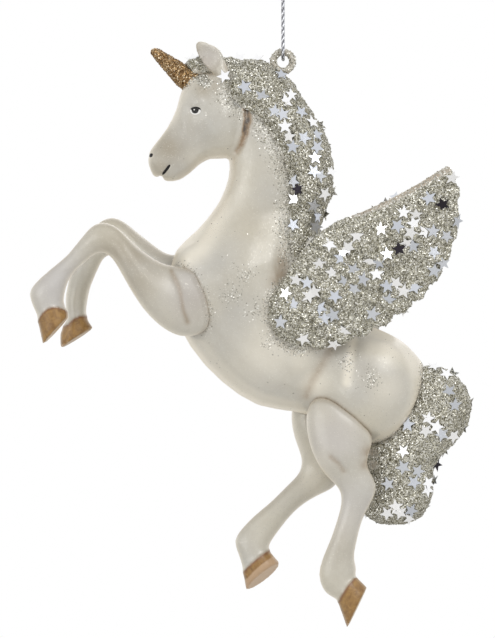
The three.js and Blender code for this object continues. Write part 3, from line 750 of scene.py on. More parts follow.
@dataclass(frozen=True)
class GlitterCoat:
    """The glued bed of fine glitter under the loose flakes."""

    name: str
    tones: tuple[tuple[float, Colour], ...]
    cells: float = 4200.0
    tilt: float = 1.2
    metal: float = 0.6
    hollows: float = 480.0
    hollow_share: float = 0.35
    roughness: tuple[float, float] = (0.22, 0.5)

    def build(self) -> bpy.types.Material:
        """Builds the material.

        Returns:
            The bed; it reads the attribute deep.
        """
        material, bench, shader = new_material(self.name)
        flakes = bench.group(flake_field(), {"Flakes a metre": self.cells, "Tilt": self.tilt})
        darkest = self.tones[0][1]
        colour = bench.ramp(flakes["Tone"], self.tones)
        hollow = bench.span(bench.noise(self.hollows, 3.0), 0.35, 0.65, 0.0, self.hollow_share)
        for share in (hollow, bench.attribute("deep")):
            colour = bench.mix(share, colour, darkest)
        bench.fill(shader, {
            "Base Color": colour,
            "Roughness": bench.span(flakes["Pick"], 0.0, 1.0, *self.roughness),
            "Normal": flakes["Normal"],
            "Metallic": self.metal,
        })
        return material


@dataclass(frozen=True)
class Foil:
    """Cut metallised foil, whose tone differs from one cut piece to the next; on the charted stars that tone
    is a painted reflection.
    """

    name: str
    tones: tuple[tuple[float, Colour], ...]
    smooth: float = 0.16
    rough: float = 0.34
    metal: float = 0.9
    scuffs: float = 2600.0
    scuff_bump: float = 0.12
    scuff_depth: float = 0.05 * MM

    def build(self) -> bpy.types.Material:
        """Builds the material.

        Returns:
            The foil; it reads the attribute tone.
        """
        material, bench, shader = new_material(self.name)
        scuff = bench.noise(self.scuffs, 3.0)
        bench.fill(shader, {
            "Base Color": bench.ramp(bench.attribute("tone"), self.tones),
            "Roughness": bench.span(scuff, 0.3, 0.7, self.smooth, self.rough),
            "Normal": bench.bump(self.scuff_bump, self.scuff_depth, scuff),
            "Metallic": self.metal,
        })
        return material


@dataclass(frozen=True)
class Enamel:
    """Brushed-on enamel; its shade is an attribute from black at 0 to white at 1."""

    name: str = "enamel"
    black: Colour = srgb(14, 12, 12)
    white: Colour = srgb(244, 242, 238)
    streaks: float = 3000.0
    streak_tone: float = 0.03
    patches: float = 900.0
    roughness: tuple[float, float] = (0.38, 0.5)
    specular: float = 0.25

    def build(self) -> bpy.types.Material:
        """Builds the material.

        Returns:
            The enamel; it reads the attribute tone.
        """
        material, bench, shader = new_material(self.name)
        streak = bench.span(bench.noise(self.streaks), 0.3, 0.7, -self.streak_tone, self.streak_tone)
        tone = bench.math("ADD", bench.attribute("tone"), streak, clamp=True)
        bench.fill(shader, {
            "Base Color": bench.mix(tone, self.black, self.white),
            "Roughness": bench.span(bench.noise(self.patches), 0.3, 0.7, *self.roughness),
            "Specular IOR Level": self.specular,
        })
        return material


@dataclass(frozen=True)
class CordFoil:
    """Twisted metallised thread, with painted shade where the plies meet and a painted highlight on their
    crowns.
    """

    name: str = "metallic cord"
    bright: Colour = srgb(214, 215, 219)
    middle: Colour = srgb(160, 161, 166)
    dark: Colour = srgb(74, 74, 80)
    sparks: float = 5200.0
    spark_share: float = 0.6
    roughness: tuple[float, float] = (0.5, 0.26)
    thread_bump: float = 0.5
    thread_depth: float = 0.05 * MM
    metal: float = 0.8

    def build(self) -> bpy.types.Material:
        """Builds the material.

        Returns:
            The thread; it reads the attributes crown and thread.
        """
        material, bench, shader = new_material(self.name)
        crown = bench.attribute("crown")
        # Painted shade in the crevices between the plies and a painted highlight on their crowns, from the
        # crown attribute.
        colour = bench.ramp(crown, [(0.12, self.dark), (0.5, self.middle), (0.9, self.bright)])
        spark = bench.span(bench.noise(self.sparks, 1.0), 0.52, 0.6, 0.0, self.spark_share)
        bench.fill(shader, {
            "Base Color": bench.mix(spark, colour, self.dark),
            "Roughness": bench.span(crown, 0.0, 1.0, *self.roughness),
            "Normal": bench.bump(self.thread_bump, self.thread_depth, bench.attribute("thread")),
            "Metallic": self.metal,
        })
        return material


@dataclass(frozen=True)
class PinWire:
    """Drawn steel wire of the hidden pins."""

    name: str = "pin wire"
    steel: Colour = srgb(158, 158, 160)
    dull: Colour = srgb(118, 117, 116)
    draw_marks: float = 1500.0
    roughness: tuple[float, float] = (0.28, 0.5)

    def build(self) -> bpy.types.Material:
        """Builds the material.

        Returns:
            The wire.
        """
        material, bench, shader = new_material(self.name)
        drawn = bench.noise(self.draw_marks, 4.0)
        bench.fill(shader, {
            "Base Color": bench.mix(drawn, self.dull, self.steel),
            "Roughness": bench.span(drawn, 0.3, 0.7, *self.roughness),
            "Metallic": 1.0,
        })
        return material


CHAMPAGNE = (
    (0.0, srgb(98, 93, 76)),
    (0.25, srgb(152, 148, 129)),
    (0.55, srgb(196, 193, 179)),
    (0.82, srgb(228, 226, 216)),
    (1.0, srgb(252, 251, 247)),
)
GOLD = (
    (0.0, srgb(86, 60, 32)),
    (0.35, srgb(136, 104, 64)),
    (0.7, srgb(178, 146, 102)),
    (0.92, srgb(222, 198, 158)),
    (1.0, srgb(248, 236, 212)),
)
# Star foil tones, dark to white: painted reflections on the charted stars, random tones on the loose ones.
SILVER = (
    (0.0, srgb(52, 48, 54)),
    (0.04, srgb(152, 152, 157)),
    (0.1, srgb(198, 202, 210)),
    (0.42, srgb(223, 226, 232)),
    (0.55, srgb(250, 250, 251)),
)


class Finishes:
    """Every material of the ornament, built once."""

    def __init__(self) -> None:
        """Builds the materials."""
        self.pearl = PearlPaint().build()
        self.champagne = GlitterCoat("champagne glitter bed", CHAMPAGNE).build()
        self.gold = GlitterCoat("gold glitter bed", GOLD).build()
        self.champagne_flake = Foil("champagne flakes", CHAMPAGNE, metal=0.8).build()
        self.gold_flake = Foil("gold flakes", GOLD, metal=0.8).build()
        self.star = Foil("star foil", SILVER, smooth=0.1, rough=0.24, metal=0.95).build()
        self.enamel = Enamel().build()
        self.cord = CordFoil().build()
        self.wire = PinWire().build()


@dataclass
class Studio:
    """The camera at the photograph's place, soft lamps, a white surround and a pale floor."""

    sensor: float = 36.0
    surround: float = 0.62
    floor_size: float = 1.6
    floor_drop: float = 60 * MM
    floor_colour: Colour = srgb(236, 235, 232)
    floor_grain: Colour = srgb(214, 213, 210)
    floor_roughness: float = 0.8
    view_depth: float = 20.0
    lamps: tuple = (
        ("key", (0.55, -0.95, 0.75), 0.9, 6.2),
        ("fill", (-0.9, -0.8, 0.1), 0.9, 3.2),
        ("rim", (0.1, 0.95, 0.6), 0.8, 1.6),
    )

    def build_camera(self) -> None:
        """Sets the camera level, square to the middle plane, with the photograph's frame."""
        camera = bpy.data.objects.new("camera", bpy.data.cameras.new("camera"))
        bpy.context.scene.collection.objects.link(camera)
        camera.location = PHOTO.lens()
        camera.rotation_euler = (math.radians(90), 0, 0)
        camera.data.sensor_width = self.sensor
        camera.data.lens = self.sensor * PHOTO.distance / (PHOTO.height * PHOTO.pixel)
        camera.data.clip_end = self.view_depth
        bpy.context.scene.camera = camera

    def build_world(self) -> None:
        """Lights the object from all round; camera and mirror rays see plain white."""
        world = bpy.data.worlds.new("surround")
        world.use_nodes = True
        world.node_tree.nodes.clear()
        bench = Bench(world.node_tree)
        rays = bench.add("ShaderNodeLightPath").outputs
        mirror = bench.math("MAXIMUM", rays["Is Glossy Ray"], rays["Is Transmission Ray"])
        seen = bench.math("MAXIMUM", rays["Is Camera Ray"], mirror)
        light = bench.add("ShaderNodeBackground", None, {"Color": (1, 1, 1, 1), "Strength": self.surround})
        white = bench.add("ShaderNodeBackground", None, {"Color": (1, 1, 1, 1), "Strength": 1.0})
        chosen = bench.add("ShaderNodeMixShader", None, {0: seen, 1: light.outputs[0], 2: white.outputs[0]})
        bench.add("ShaderNodeOutputWorld", None, {"Surface": chosen.outputs[0]})
        bpy.context.scene.world = world

    def build_lamps(self) -> None:
        """Hangs the soft boxes, each turned to the middle of the ornament."""
        low, high = CAD_BOX
        middle = (low + high) / 2
        for name, place, size, watts in self.lamps:
            data = bpy.data.lights.new(name, "AREA")
            data.shape = "DISK"
            data.size = size
            data.energy = watts
            lamp = bpy.data.objects.new(name, data)
            lamp.location = middle + Vector(place)
            lamp.rotation_euler = Vector(place).to_track_quat("Z", "Y").to_euler()
            lamp.visible_camera = False
            bpy.context.scene.collection.objects.link(lamp)

    def build_floor(self) -> None:
        """Lays the pale floor a little below the hooves, under the camera's view."""
        bpy.ops.object.select_all(action="DESELECT")
        low, high = CAD_BOX
        middle = (low + high) / 2
        place = (middle.x, middle.y, low.z - self.floor_drop)
        bpy.ops.mesh.primitive_plane_add(size=self.floor_size, location=place)
        floor = bpy.context.object
        floor.name = "floor"
        bpy.ops.object.transform_apply(location=True, rotation=True, scale=True)
        material, bench, shader = new_material("pale floor")
        grain = bench.span(bench.noise(300.0), 0.3, 0.7, 0.0, 0.05)
        bench.feed(shader.inputs["Base Color"], bench.mix(grain, self.floor_colour, self.floor_grain))
        shader.inputs["Roughness"].default_value = self.floor_roughness
        floor.data.materials.append(material)

    def build(self) -> None:
        """Builds the whole studio."""
        self.build_camera()
        self.build_world()
        self.build_lamps()
        self.build_floor()
        bpy.context.scene.view_settings.view_transform = "Standard"
        LOG.info("studio: camera, surround, %d lamps and floor", len(self.lamps))


def between(
    first: np.ndarray, last: np.ndarray, low: float, high: float, place: np.ndarray
) -> np.ndarray:
    """Points on the line through two points, which are reached at the places low and high."""
    return first + (last - first) * (place - low) / (high - low)


def travelled(line: np.ndarray) -> np.ndarray:
    """How far along a line each of its points lies, in metres."""
    return np.concatenate([[0.0], np.cumsum(np.linalg.norm(np.diff(line, axis=0), axis=1))])


def smooth_route(points: np.ndarray, spacing: float, steps: int = 24) -> np.ndarray:
    """A centripetal Catmull-Rom curve through points, at even steps.

    Args:
        points: Rows of x, y and z.
        spacing: The wanted step, in metres.
        steps: How many places are worked out between two points before they are evened out.

    Returns:
        Points along the curve, from the first point to the last.
    """
    first = 2 * points[0] - points[1]
    last = 2 * points[-1] - points[-2]
    padded = np.vstack([first, points, last])
    pieces = []
    for p0, p1, p2, p3 in zip(padded[:-3], padded[1:-2], padded[2:-1], padded[3:]):
        gaps = [math.sqrt(np.linalg.norm(b - a)) for a, b in pairwise((p0, p1, p2, p3))]
        k0, k1, k2, k3 = np.cumsum([0.0, *gaps])
        t = np.linspace(k1, k2, steps, endpoint=False)[:, None]
        a1 = between(p0, p1, k0, k1, t)
        a2 = between(p1, p2, k1, k2, t)
        a3 = between(p2, p3, k2, k3, t)
        b1 = between(a1, a2, k0, k2, t)
        b2 = between(a2, a3, k1, k3, t)
        pieces.append(between(b1, b2, k1, k2, t))
    curve = np.vstack([*pieces, points[-1:]])
    reached = travelled(curve)
    even = np.linspace(0.0, reached[-1], max(2, round(reached[-1] / spacing)) + 1)
    return np.column_stack([np.interp(even, reached, curve[:, axis]) for axis in range(3)])


@dataclass
class HangingCord:
    """The silver cord loop, two plies twisted together, and the wrapped knot that closes it."""

    diameter: float = 0.9 * MM
    ply: float = 0.28 * MM
    lay: float = 3.2 * MM
    around: int = 16
    step: float = 0.16 * MM
    wraps: int = 3
    knot_diameter: float = 3.2 * MM
    knot_height: float = 3.0 * MM
    tail: float = 3.5 * MM
    tail_lean: float = 0.35
    tail_root: float = -0.2 * MM
    wrap_steps: int = 24
    threads: int = 9
    thread_lay: float = 0.09 * MM
    strand: tuple = (
        (0.65, -0.3),
        (1.28, -2.0),
        (2.75, -6.0),
        (1.49, -10.5),
        (0.65, -15.0),
        (0.65, -18.9),
        (0.65, -22.8),
        (0.65, -26.7),
        (1.5, -31.1),
    )
    bight: tuple = ((-1.85, -33.7), (-1.308, -35.008), (0.0, -35.55), (1.308, -35.008), (1.85, -33.7))

    def route(self) -> np.ndarray:
        """The loop's route: down in front of the eye, through it and up behind.

        Returns:
            Its points, as rows of x, y and z.
        """
        down = [(0.0, -y, z) for y, z in self.strand]
        under = [(0.0, y, z) for y, z in self.bight]
        up = [(0.0, y, z) for y, z in reversed(self.strand)]
        return np.array(down + under + up) * MM

    def twist(self, centre: np.ndarray) -> tuple[np.ndarray, list, np.ndarray, np.ndarray]:
        """A two-ply tube along a centre line.

        Args:
            centre: Even steps along the line.

        Returns:
            Its points, its faces, how far each point stands on a ply's crown, and its place in the lay.
        """
        count = len(centre)
        ahead = np.gradient(centre, axis=0)
        ahead /= np.linalg.norm(ahead, axis=1)[:, None]
        across = np.array([1.0, 0.0, 0.0]) if abs(ahead[0, 0]) < 0.9 else np.array([0.0, 1.0, 0.0])
        reach = self.diameter / 2 - self.ply
        angles = np.arange(self.around) * 2 * math.pi / self.around
        reached = travelled(centre)
        points, crown, thread = [], [], []
        for i in range(count):
            across = across - ahead[i] * (across @ ahead[i])
            across /= np.linalg.norm(across)
            third = np.cross(ahead[i], across)
            turn = angles - 2 * math.pi * reached[i] / self.lay
            radius = reach * np.abs(np.cos(turn)) + np.sqrt(self.ply**2 - (reach * np.sin(turn)) ** 2)
            spokes = np.cos(angles)[:, None] * across + np.sin(angles)[:, None] * third
            points.append(centre[i] + radius[:, None] * spokes)
            crown.append(np.abs(np.cos(turn)))
            thread.append(0.5 + 0.5 * np.sin(self.threads * turn + reached[i] / self.thread_lay))
        rings = np.arange(count - 1)[:, None] * self.around
        here = rings + np.arange(self.around)
        there = rings + (np.arange(self.around) + 1) % self.around
        quads = np.stack([here, there, there + self.around, here + self.around], axis=2)
        faces = quads.reshape(-1, 4).tolist()
        faces.append(list(range(self.around))[::-1])
        faces.append(list(range((count - 1) * self.around, count * self.around)))
        return np.vstack(points), faces, np.concatenate(crown), np.concatenate(thread)

    def tubes(self, name: str, lines: Sequence[np.ndarray]) -> bpy.types.Object:
        """One piece of several twisted tubes.

        Args:
            name: The piece's name.
            lines: The centre line of each tube.

        Returns:
            The piece, with its crowns and threads stored on it.
        """
        points, faces, crowns, threads = [], [], [], []
        start = 0
        for line in lines:
            tube, skin, crown, thread = self.twist(line)
            faces.extend([[start + i for i in face] for face in skin])
            points.append(tube)
            crowns.append(crown)
            threads.append(thread)
            start += len(tube)
        piece = new_piece(name, np.vstack(points), faces)
        write_attributes(piece, crown=np.concatenate(crowns), thread=np.concatenate(threads))
        return piece

    def knot_lines(self) -> list[np.ndarray]:
        """The centre lines of the knot.

        Returns:
            Its wraps, then the two cut ends that leave it.
        """
        radius = (self.knot_diameter - self.diameter) / 2
        turns = np.linspace(0.0, self.wraps, self.wrap_steps * self.wraps + 1)
        low, high = self.diameter / 2, self.knot_height - self.diameter / 2
        coil = np.column_stack([
            radius * np.sin(2 * math.pi * turns),
            -radius * np.cos(2 * math.pi * turns),
            low + (high - low) * turns / self.wraps,
        ])
        lines = [smooth_route(coil, self.step)]
        side = self.strand[0][0] * MM
        for way in (-1, 1):
            foot = np.array([0.0, way * side, self.tail_root])
            top = np.array([0.0, way * side, self.knot_height])
            lean = np.array([0.0, way * self.tail_lean, 1.0])
            end = top + lean / np.linalg.norm(lean) * self.tail
            lines.append(smooth_route(np.array([foot, (foot + top) / 2, top, end]), self.step))
        return lines

    def build(self, finishes: Finishes) -> None:
        """Args:
            finishes: The materials.
        """
        route = self.route()
        centre = smooth_route(route, self.step)
        cord = self.tubes("cord_loop", [centre])
        knot = self.tubes("knot_wraps", self.knot_lines())
        fit_piece(cord, Body.CORD, [finishes.cord], ["hang_cord"])
        fit_piece(knot, Body.CORD, [finishes.cord], ["cord_knot"])


class Shapes:
    """The small cut shapes that are copied over the glitter, each modelled once."""

    STAR_REACH = 1.78 * MM
    STAR_WAIST = 0.43
    STAR_CORNERS = 10
    STAR_THICKNESS = 0.06 * MM
    FLAKE_REACH = 1.0 * MM
    FLAKE_CURL = 0.16 * MM
    FLAKE_CORNERS = 6
    FLAKE_THICKNESS = 0.2 * MM

    def __init__(self) -> None:
        """Models the star and the flake."""
        self.star = self.cut_star()
        self.flake = self.cut_flake()

    @staticmethod
    def finish_shape(piece: bpy.types.Object) -> tuple[np.ndarray, np.ndarray]:
        """Takes a shape's points and triangles, and removes its object.

        Args:
            piece: The modelled shape.

        Returns:
            Rows of x, y and z, and rows of three point numbers.
        """
        edit_all(piece)
        bpy.ops.mesh.quads_convert_to_tris()
        bpy.ops.mesh.normals_make_consistent(inside=False)
        bpy.ops.object.mode_set(mode="OBJECT")
        points = np.array([v.co for v in piece.data.vertices])
        faces = np.array([p.vertices[:] for p in piece.data.polygons])
        bpy.data.objects.remove(piece)
        return points, faces

    @staticmethod
    def select_points(piece: bpy.types.Object, wanted: Callable[[Vector], bool]) -> None:
        """Selects a shape's points by their place, in edit mode.

        Args:
            piece: The modelled shape.
            wanted: Whether the point at a place is selected.
        """
        bpy.ops.object.mode_set(mode="EDIT")
        bpy.ops.mesh.select_mode(type="VERT")
        bpy.ops.mesh.select_all(action="DESELECT")
        bpy.ops.object.mode_set(mode="OBJECT")
        for vertex in piece.data.vertices:
            vertex.select = wanted(vertex.co)
        bpy.ops.object.mode_set(mode="EDIT")

    def cut_star(self) -> tuple[np.ndarray, np.ndarray]:
        """A flat five-pointed star sequin; its waist is a share of its reach.

        Returns:
            Its points and triangles.
        """
        bpy.ops.object.select_all(action="DESELECT")
        bpy.ops.mesh.primitive_circle_add(
            vertices=self.STAR_CORNERS, radius=self.STAR_REACH, fill_type="TRIFAN"
        )
        star = bpy.context.object

        def inner(place: Vector) -> bool:
            """Whether a point of the circle is one of the star's inner corners."""
            turn = math.degrees(math.atan2(place.x, place.y)) / (360 / self.STAR_CORNERS)
            return place.length > self.STAR_REACH / 2 and round(turn) % 2 == 1

        self.select_points(star, inner)
        bpy.ops.transform.resize(value=(self.STAR_WAIST, self.STAR_WAIST, 1.0))
        bpy.ops.object.mode_set(mode="OBJECT")
        apply_modifier(star, "SOLIDIFY", thickness=self.STAR_THICKNESS, offset=0.0)
        return self.finish_shape(star)

    def cut_flake(self) -> tuple[np.ndarray, np.ndarray]:
        """A six-sided flake with two curled corners, one millimetre in reach and scaled where it is used.

        Returns:
            Its points and triangles.
        """
        bpy.ops.object.select_all(action="DESELECT")
        bpy.ops.mesh.primitive_circle_add(
            vertices=self.FLAKE_CORNERS, radius=self.FLAKE_REACH, fill_type="NGON"
        )
        flake = bpy.context.object
        self.select_points(flake, lambda place: abs(place.y) > 0.9 * self.FLAKE_REACH)
        bpy.ops.transform.translate(value=(0.0, 0.0, self.FLAKE_CURL))
        bpy.ops.object.mode_set(mode="OBJECT")
        apply_modifier(flake, "SOLIDIFY", thickness=self.FLAKE_THICKNESS, offset=0.0)
        return self.finish_shape(flake)


TRIES_A_COPY = 6
COPY_SEED = 1000
TILT_SPREAD = 0.6
LEAST_AREA = 1e-15


@dataclass(frozen=True)
class Sprinkle:
    """Copies of one cut shape, sprinkled over a piece from a seed."""

    seed: int
    count: int
    size: tuple[float, float] = (1.0, 1.0)
    apart: float = 0.0
    tilt: float = 0.5
    lift: float = 0.1 * MM
    bias: float = 1.0

    def spread(
        self, piece: bpy.types.Object, chance: Callable[[np.ndarray, np.ndarray], np.ndarray]
    ) -> tuple[np.ndarray, np.ndarray]:
        """Picks places on a piece.

        Args:
            piece: The piece to cover.
            chance: How likely a place is to be taken, from its point and its normal.

        Returns:
            Rows of points, and rows of normals.
        """
        rng = np.random.default_rng(self.seed)
        mesh = piece.data
        mesh.calc_loop_triangles()
        corners = read_rows(mesh.loop_triangles, "vertices", 3, np.int32)
        places = read_rows(mesh.vertices, "co", 3, float)
        a, b, c = (places[corners[:, i]] for i in range(3))
        outward = np.cross(b - a, c - a)
        area = np.linalg.norm(outward, axis=1)
        outward /= np.maximum(area, LEAST_AREA)[:, None]
        weight = area * np.clip(chance((a + b + c) / 3, outward), 0, 1)
        tries = self.count * (TRIES_A_COPY if self.apart else 1)
        picked = rng.choice(len(corners), tries, p=weight / weight.sum())
        u, v = rng.random((2, tries))
        over = u + v > 1
        u[over], v[over] = 1 - u[over], 1 - v[over]
        points = a[picked] + u[:, None] * (b - a)[picked] + v[:, None] * (c - a)[picked]
        directions = outward[picked]
        if not self.apart:
            return points, directions
        kept: list[int] = []
        for i in range(tries):
            if len(kept) == self.count:
                break
            if not kept or np.linalg.norm(points[kept] - points[i], axis=1).min() > self.apart:
                kept.append(i)
        return points[kept], directions[kept]

    def copies(
        self,
        name: str,
        shape: tuple[np.ndarray, np.ndarray],
        points: np.ndarray,
        normals: np.ndarray,
        tones: np.ndarray | None = None,
    ) -> bpy.types.Object:
        """Joins one copy of a shape for each place into a piece.

        Args:
            name: The piece's name.
            shape: The shape's points and triangles.
            points: Where the copies go.
            normals: Which way the surface faces there.
            tones: Each copy's tone; random if none are given.

        Returns:
            The piece, with each copy's tone stored on it.
        """
        rng = np.random.default_rng(self.seed + COPY_SEED)
        corners, triangles = shape
        count = len(points)
        up = normals + self.tilt * rng.normal(size=(count, 3)) * TILT_SPREAD
        up /= np.linalg.norm(up, axis=1)[:, None]
        first = np.cross(up, rng.normal(size=(count, 3)))
        first /= np.linalg.norm(first, axis=1)[:, None]
        second = np.cross(up, first)
        scale = rng.uniform(*self.size, count)
        basis = np.stack([first, second, up], axis=2) * scale[:, None, None]
        middle = points + normals * self.lift
        placed = middle[:, None, :] + np.einsum("nij,vj->nvi", basis, corners)
        faces = triangles[None, :, :] + (np.arange(count) * len(corners))[:, None, None]
        piece = new_piece(name, placed.reshape(-1, 3), faces.reshape(-1, 3).tolist())
        piece.data.shade_flat()
        chosen = rng.random(count) ** self.bias if tones is None else tones
        write_attributes(piece, tone=np.repeat(chosen, len(corners)))
        return piece


class Cast:
    """A casting's skin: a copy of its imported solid, remeshed fine enough to sculpt."""

    def __init__(self, node: str, name: str, voxel: float) -> None:
        """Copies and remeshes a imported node.

        Args:
            node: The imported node.
            name: The new piece's name.
            voxel: The remesh grid, in metres.
        """
        self.node = node
        self.piece = copy_of_node(node, name)
        self.solid = self.search_tree()
        apply_modifier(self.piece, "REMESH", mode="VOXEL", voxel_size=voxel)
        self.piece.data.shade_smooth()
        self.clay = Clay(self.piece)

    def search_tree(self) -> BVHTree:
        """A search tree over the piece as it now is."""
        mesh = self.piece.data
        return BVHTree.FromPolygons([v.co for v in mesh.vertices], [p.vertices for p in mesh.polygons])

    def tree(self) -> BVHTree:
        """A search tree over the sculpted skin."""
        self.clay.store()
        return self.search_tree()

    def smooth(self, passes: int, weight: np.ndarray | float, proud: float) -> None:
        """Smooths the facets away, then gives the form back its size.

        Args:
            passes: How many times each point moves towards its neighbours.
            weight: How freely each point moves, 0 to 1.
            proud: How far the skin lies outside the mean of the facets, in metres.
        """
        self.clay.relax(passes, weight)
        for _ in range(2):
            self.clay.refit(self.solid, passes)
        self.clay.push(np.full(len(self.clay.points), proud))


CLOUD_STEP = 3
STIFF, FREE = 0.14, 0.86
SEAM_FALL = 1.5
NO_HOOF = {"hoof": 0.0, "coronet": 0.0, "sole": 0.0}


def nearness(points: np.ndarray, others: Sequence[Cast], reach: float) -> np.ndarray:
    """How close each point lies to other castings.

    Args:
        points: Rows of x, y and z.
        others: The castings to measure to.
        reach: The distance at which nearness falls to 0, in metres.

    Returns:
        For each point, 1 where it touches and 0 from the reach on.
    """
    cloud = np.vstack([other.clay.points[::CLOUD_STEP] for other in others])
    tree = KDTree(len(cloud))
    for i, place in enumerate(cloud):
        tree.insert(place, i)
    tree.balance()
    low = cloud.min(0) - reach
    high = cloud.max(0) + reach
    found = np.zeros(len(points))
    for i in np.flatnonzero(np.all((points > low) & (points < high), axis=1)):
        distance = tree.find(points[i])[2]
        if distance < reach:
            found[i] = 1 - distance / reach
    return found


@dataclass(frozen=True)
class Crease:
    """A painted line along a crease; the lists it stands in use it for antiquing, for painted shade and for
    painted highlights.
    """

    pixels: tuple[Pixel, ...]
    width: float
    strength: float


@dataclass(frozen=True)
class Hoof:
    """Where a hoof begins: the two ends of its coronet, how far that bows up, and a pixel of the toe."""

    start: Pixel
    end: Pixel
    bow: float
    toe: Pixel
    reach: float = 11 * MM
    least_bow: float = -0.4

    def share(self, points: np.ndarray) -> np.ndarray:
        """How far each point lies inside the hoof, in metres; above 0 is hoof.

        Args:
            points: Rows of x, y and z.

        Returns:
            The depth below the coronet.
        """
        start, end, toe = (np.array(PHOTO.spot(p)) for p in (self.start, self.end, self.toe))
        along = end - start
        down = np.array([along[1], -along[0]]) / np.linalg.norm(along)
        if (toe - start) @ down < 0:
            down = -down
        flat = points[:, [0, 2]] - start
        share = flat @ along / (along @ along)
        bow = self.bow * np.clip(4 * share * (1 - share), self.least_bow, 1)
        near_toe = np.linalg.norm(points[:, [0, 2]] - toe, axis=1) < self.reach
        return np.where(near_toe, flat @ down + bow, -self.reach)


@dataclass(frozen=True)
class Wash:
    """A soft spot of brushed-on paint; the lists it stands in use it for colour, thin glitter, dust, painted
    shade and painted highlights.
    """

    pixel: Pixel
    reach: float
    strength: float

    def soak(self, points: np.ndarray) -> np.ndarray:
        """How much paint each point takes whichever way it faces, 0 to the strength."""
        return self.strength * bell(PHOTO.apart(points, self.pixel), self.reach)

    def cover(self, clay: Clay) -> np.ndarray:
        """How much paint each point of a piece takes where it faces a side."""
        return self.soak(clay.points) * clay.facing()


def brushed(clay: Clay, washes: Sequence[Wash], creases: Sequence[Crease] = ()) -> np.ndarray:
    """The paint that several spots and creases leave on a piece.

    Args:
        clay: The piece's points.
        washes: Soft spots.
        creases: Lines.

    Returns:
        For each point, 0 to 1.
    """
    cover = np.zeros(len(clay.points))
    for wash in washes:
        cover = np.maximum(cover, wash.cover(clay))
    for crease in creases:
        distance = route_distance(clay.points, PHOTO.route(crease.pixels))
        line = crease.strength * bell(distance, crease.width) * clay.facing()
        cover = np.maximum(cover, line)
    return cover


def painted_rim_highlight(clay: Clay, touching: Sequence[Cast], start: float) -> np.ndarray:
    """A painted highlight of warm cream along a piece's outline: where it turns away from both sides, but not
    in its seams.

    Args:
        clay: The piece's points.
        touching: The castings that it seats against.
        start: How squarely a point may face a side and still take some of it, 0 to 1.

    Returns:
        For each point, 0 to 1.
    """
    across = clay.averaged(clay.normals(), 6, 1.0)[:, 1]
    turned = 1 - smoothstep(0.2, start, np.abs(across))
    return turned * (1 - smoothstep(0.0, 0.5, nearness(clay.points, touching, 2.4 * MM)))


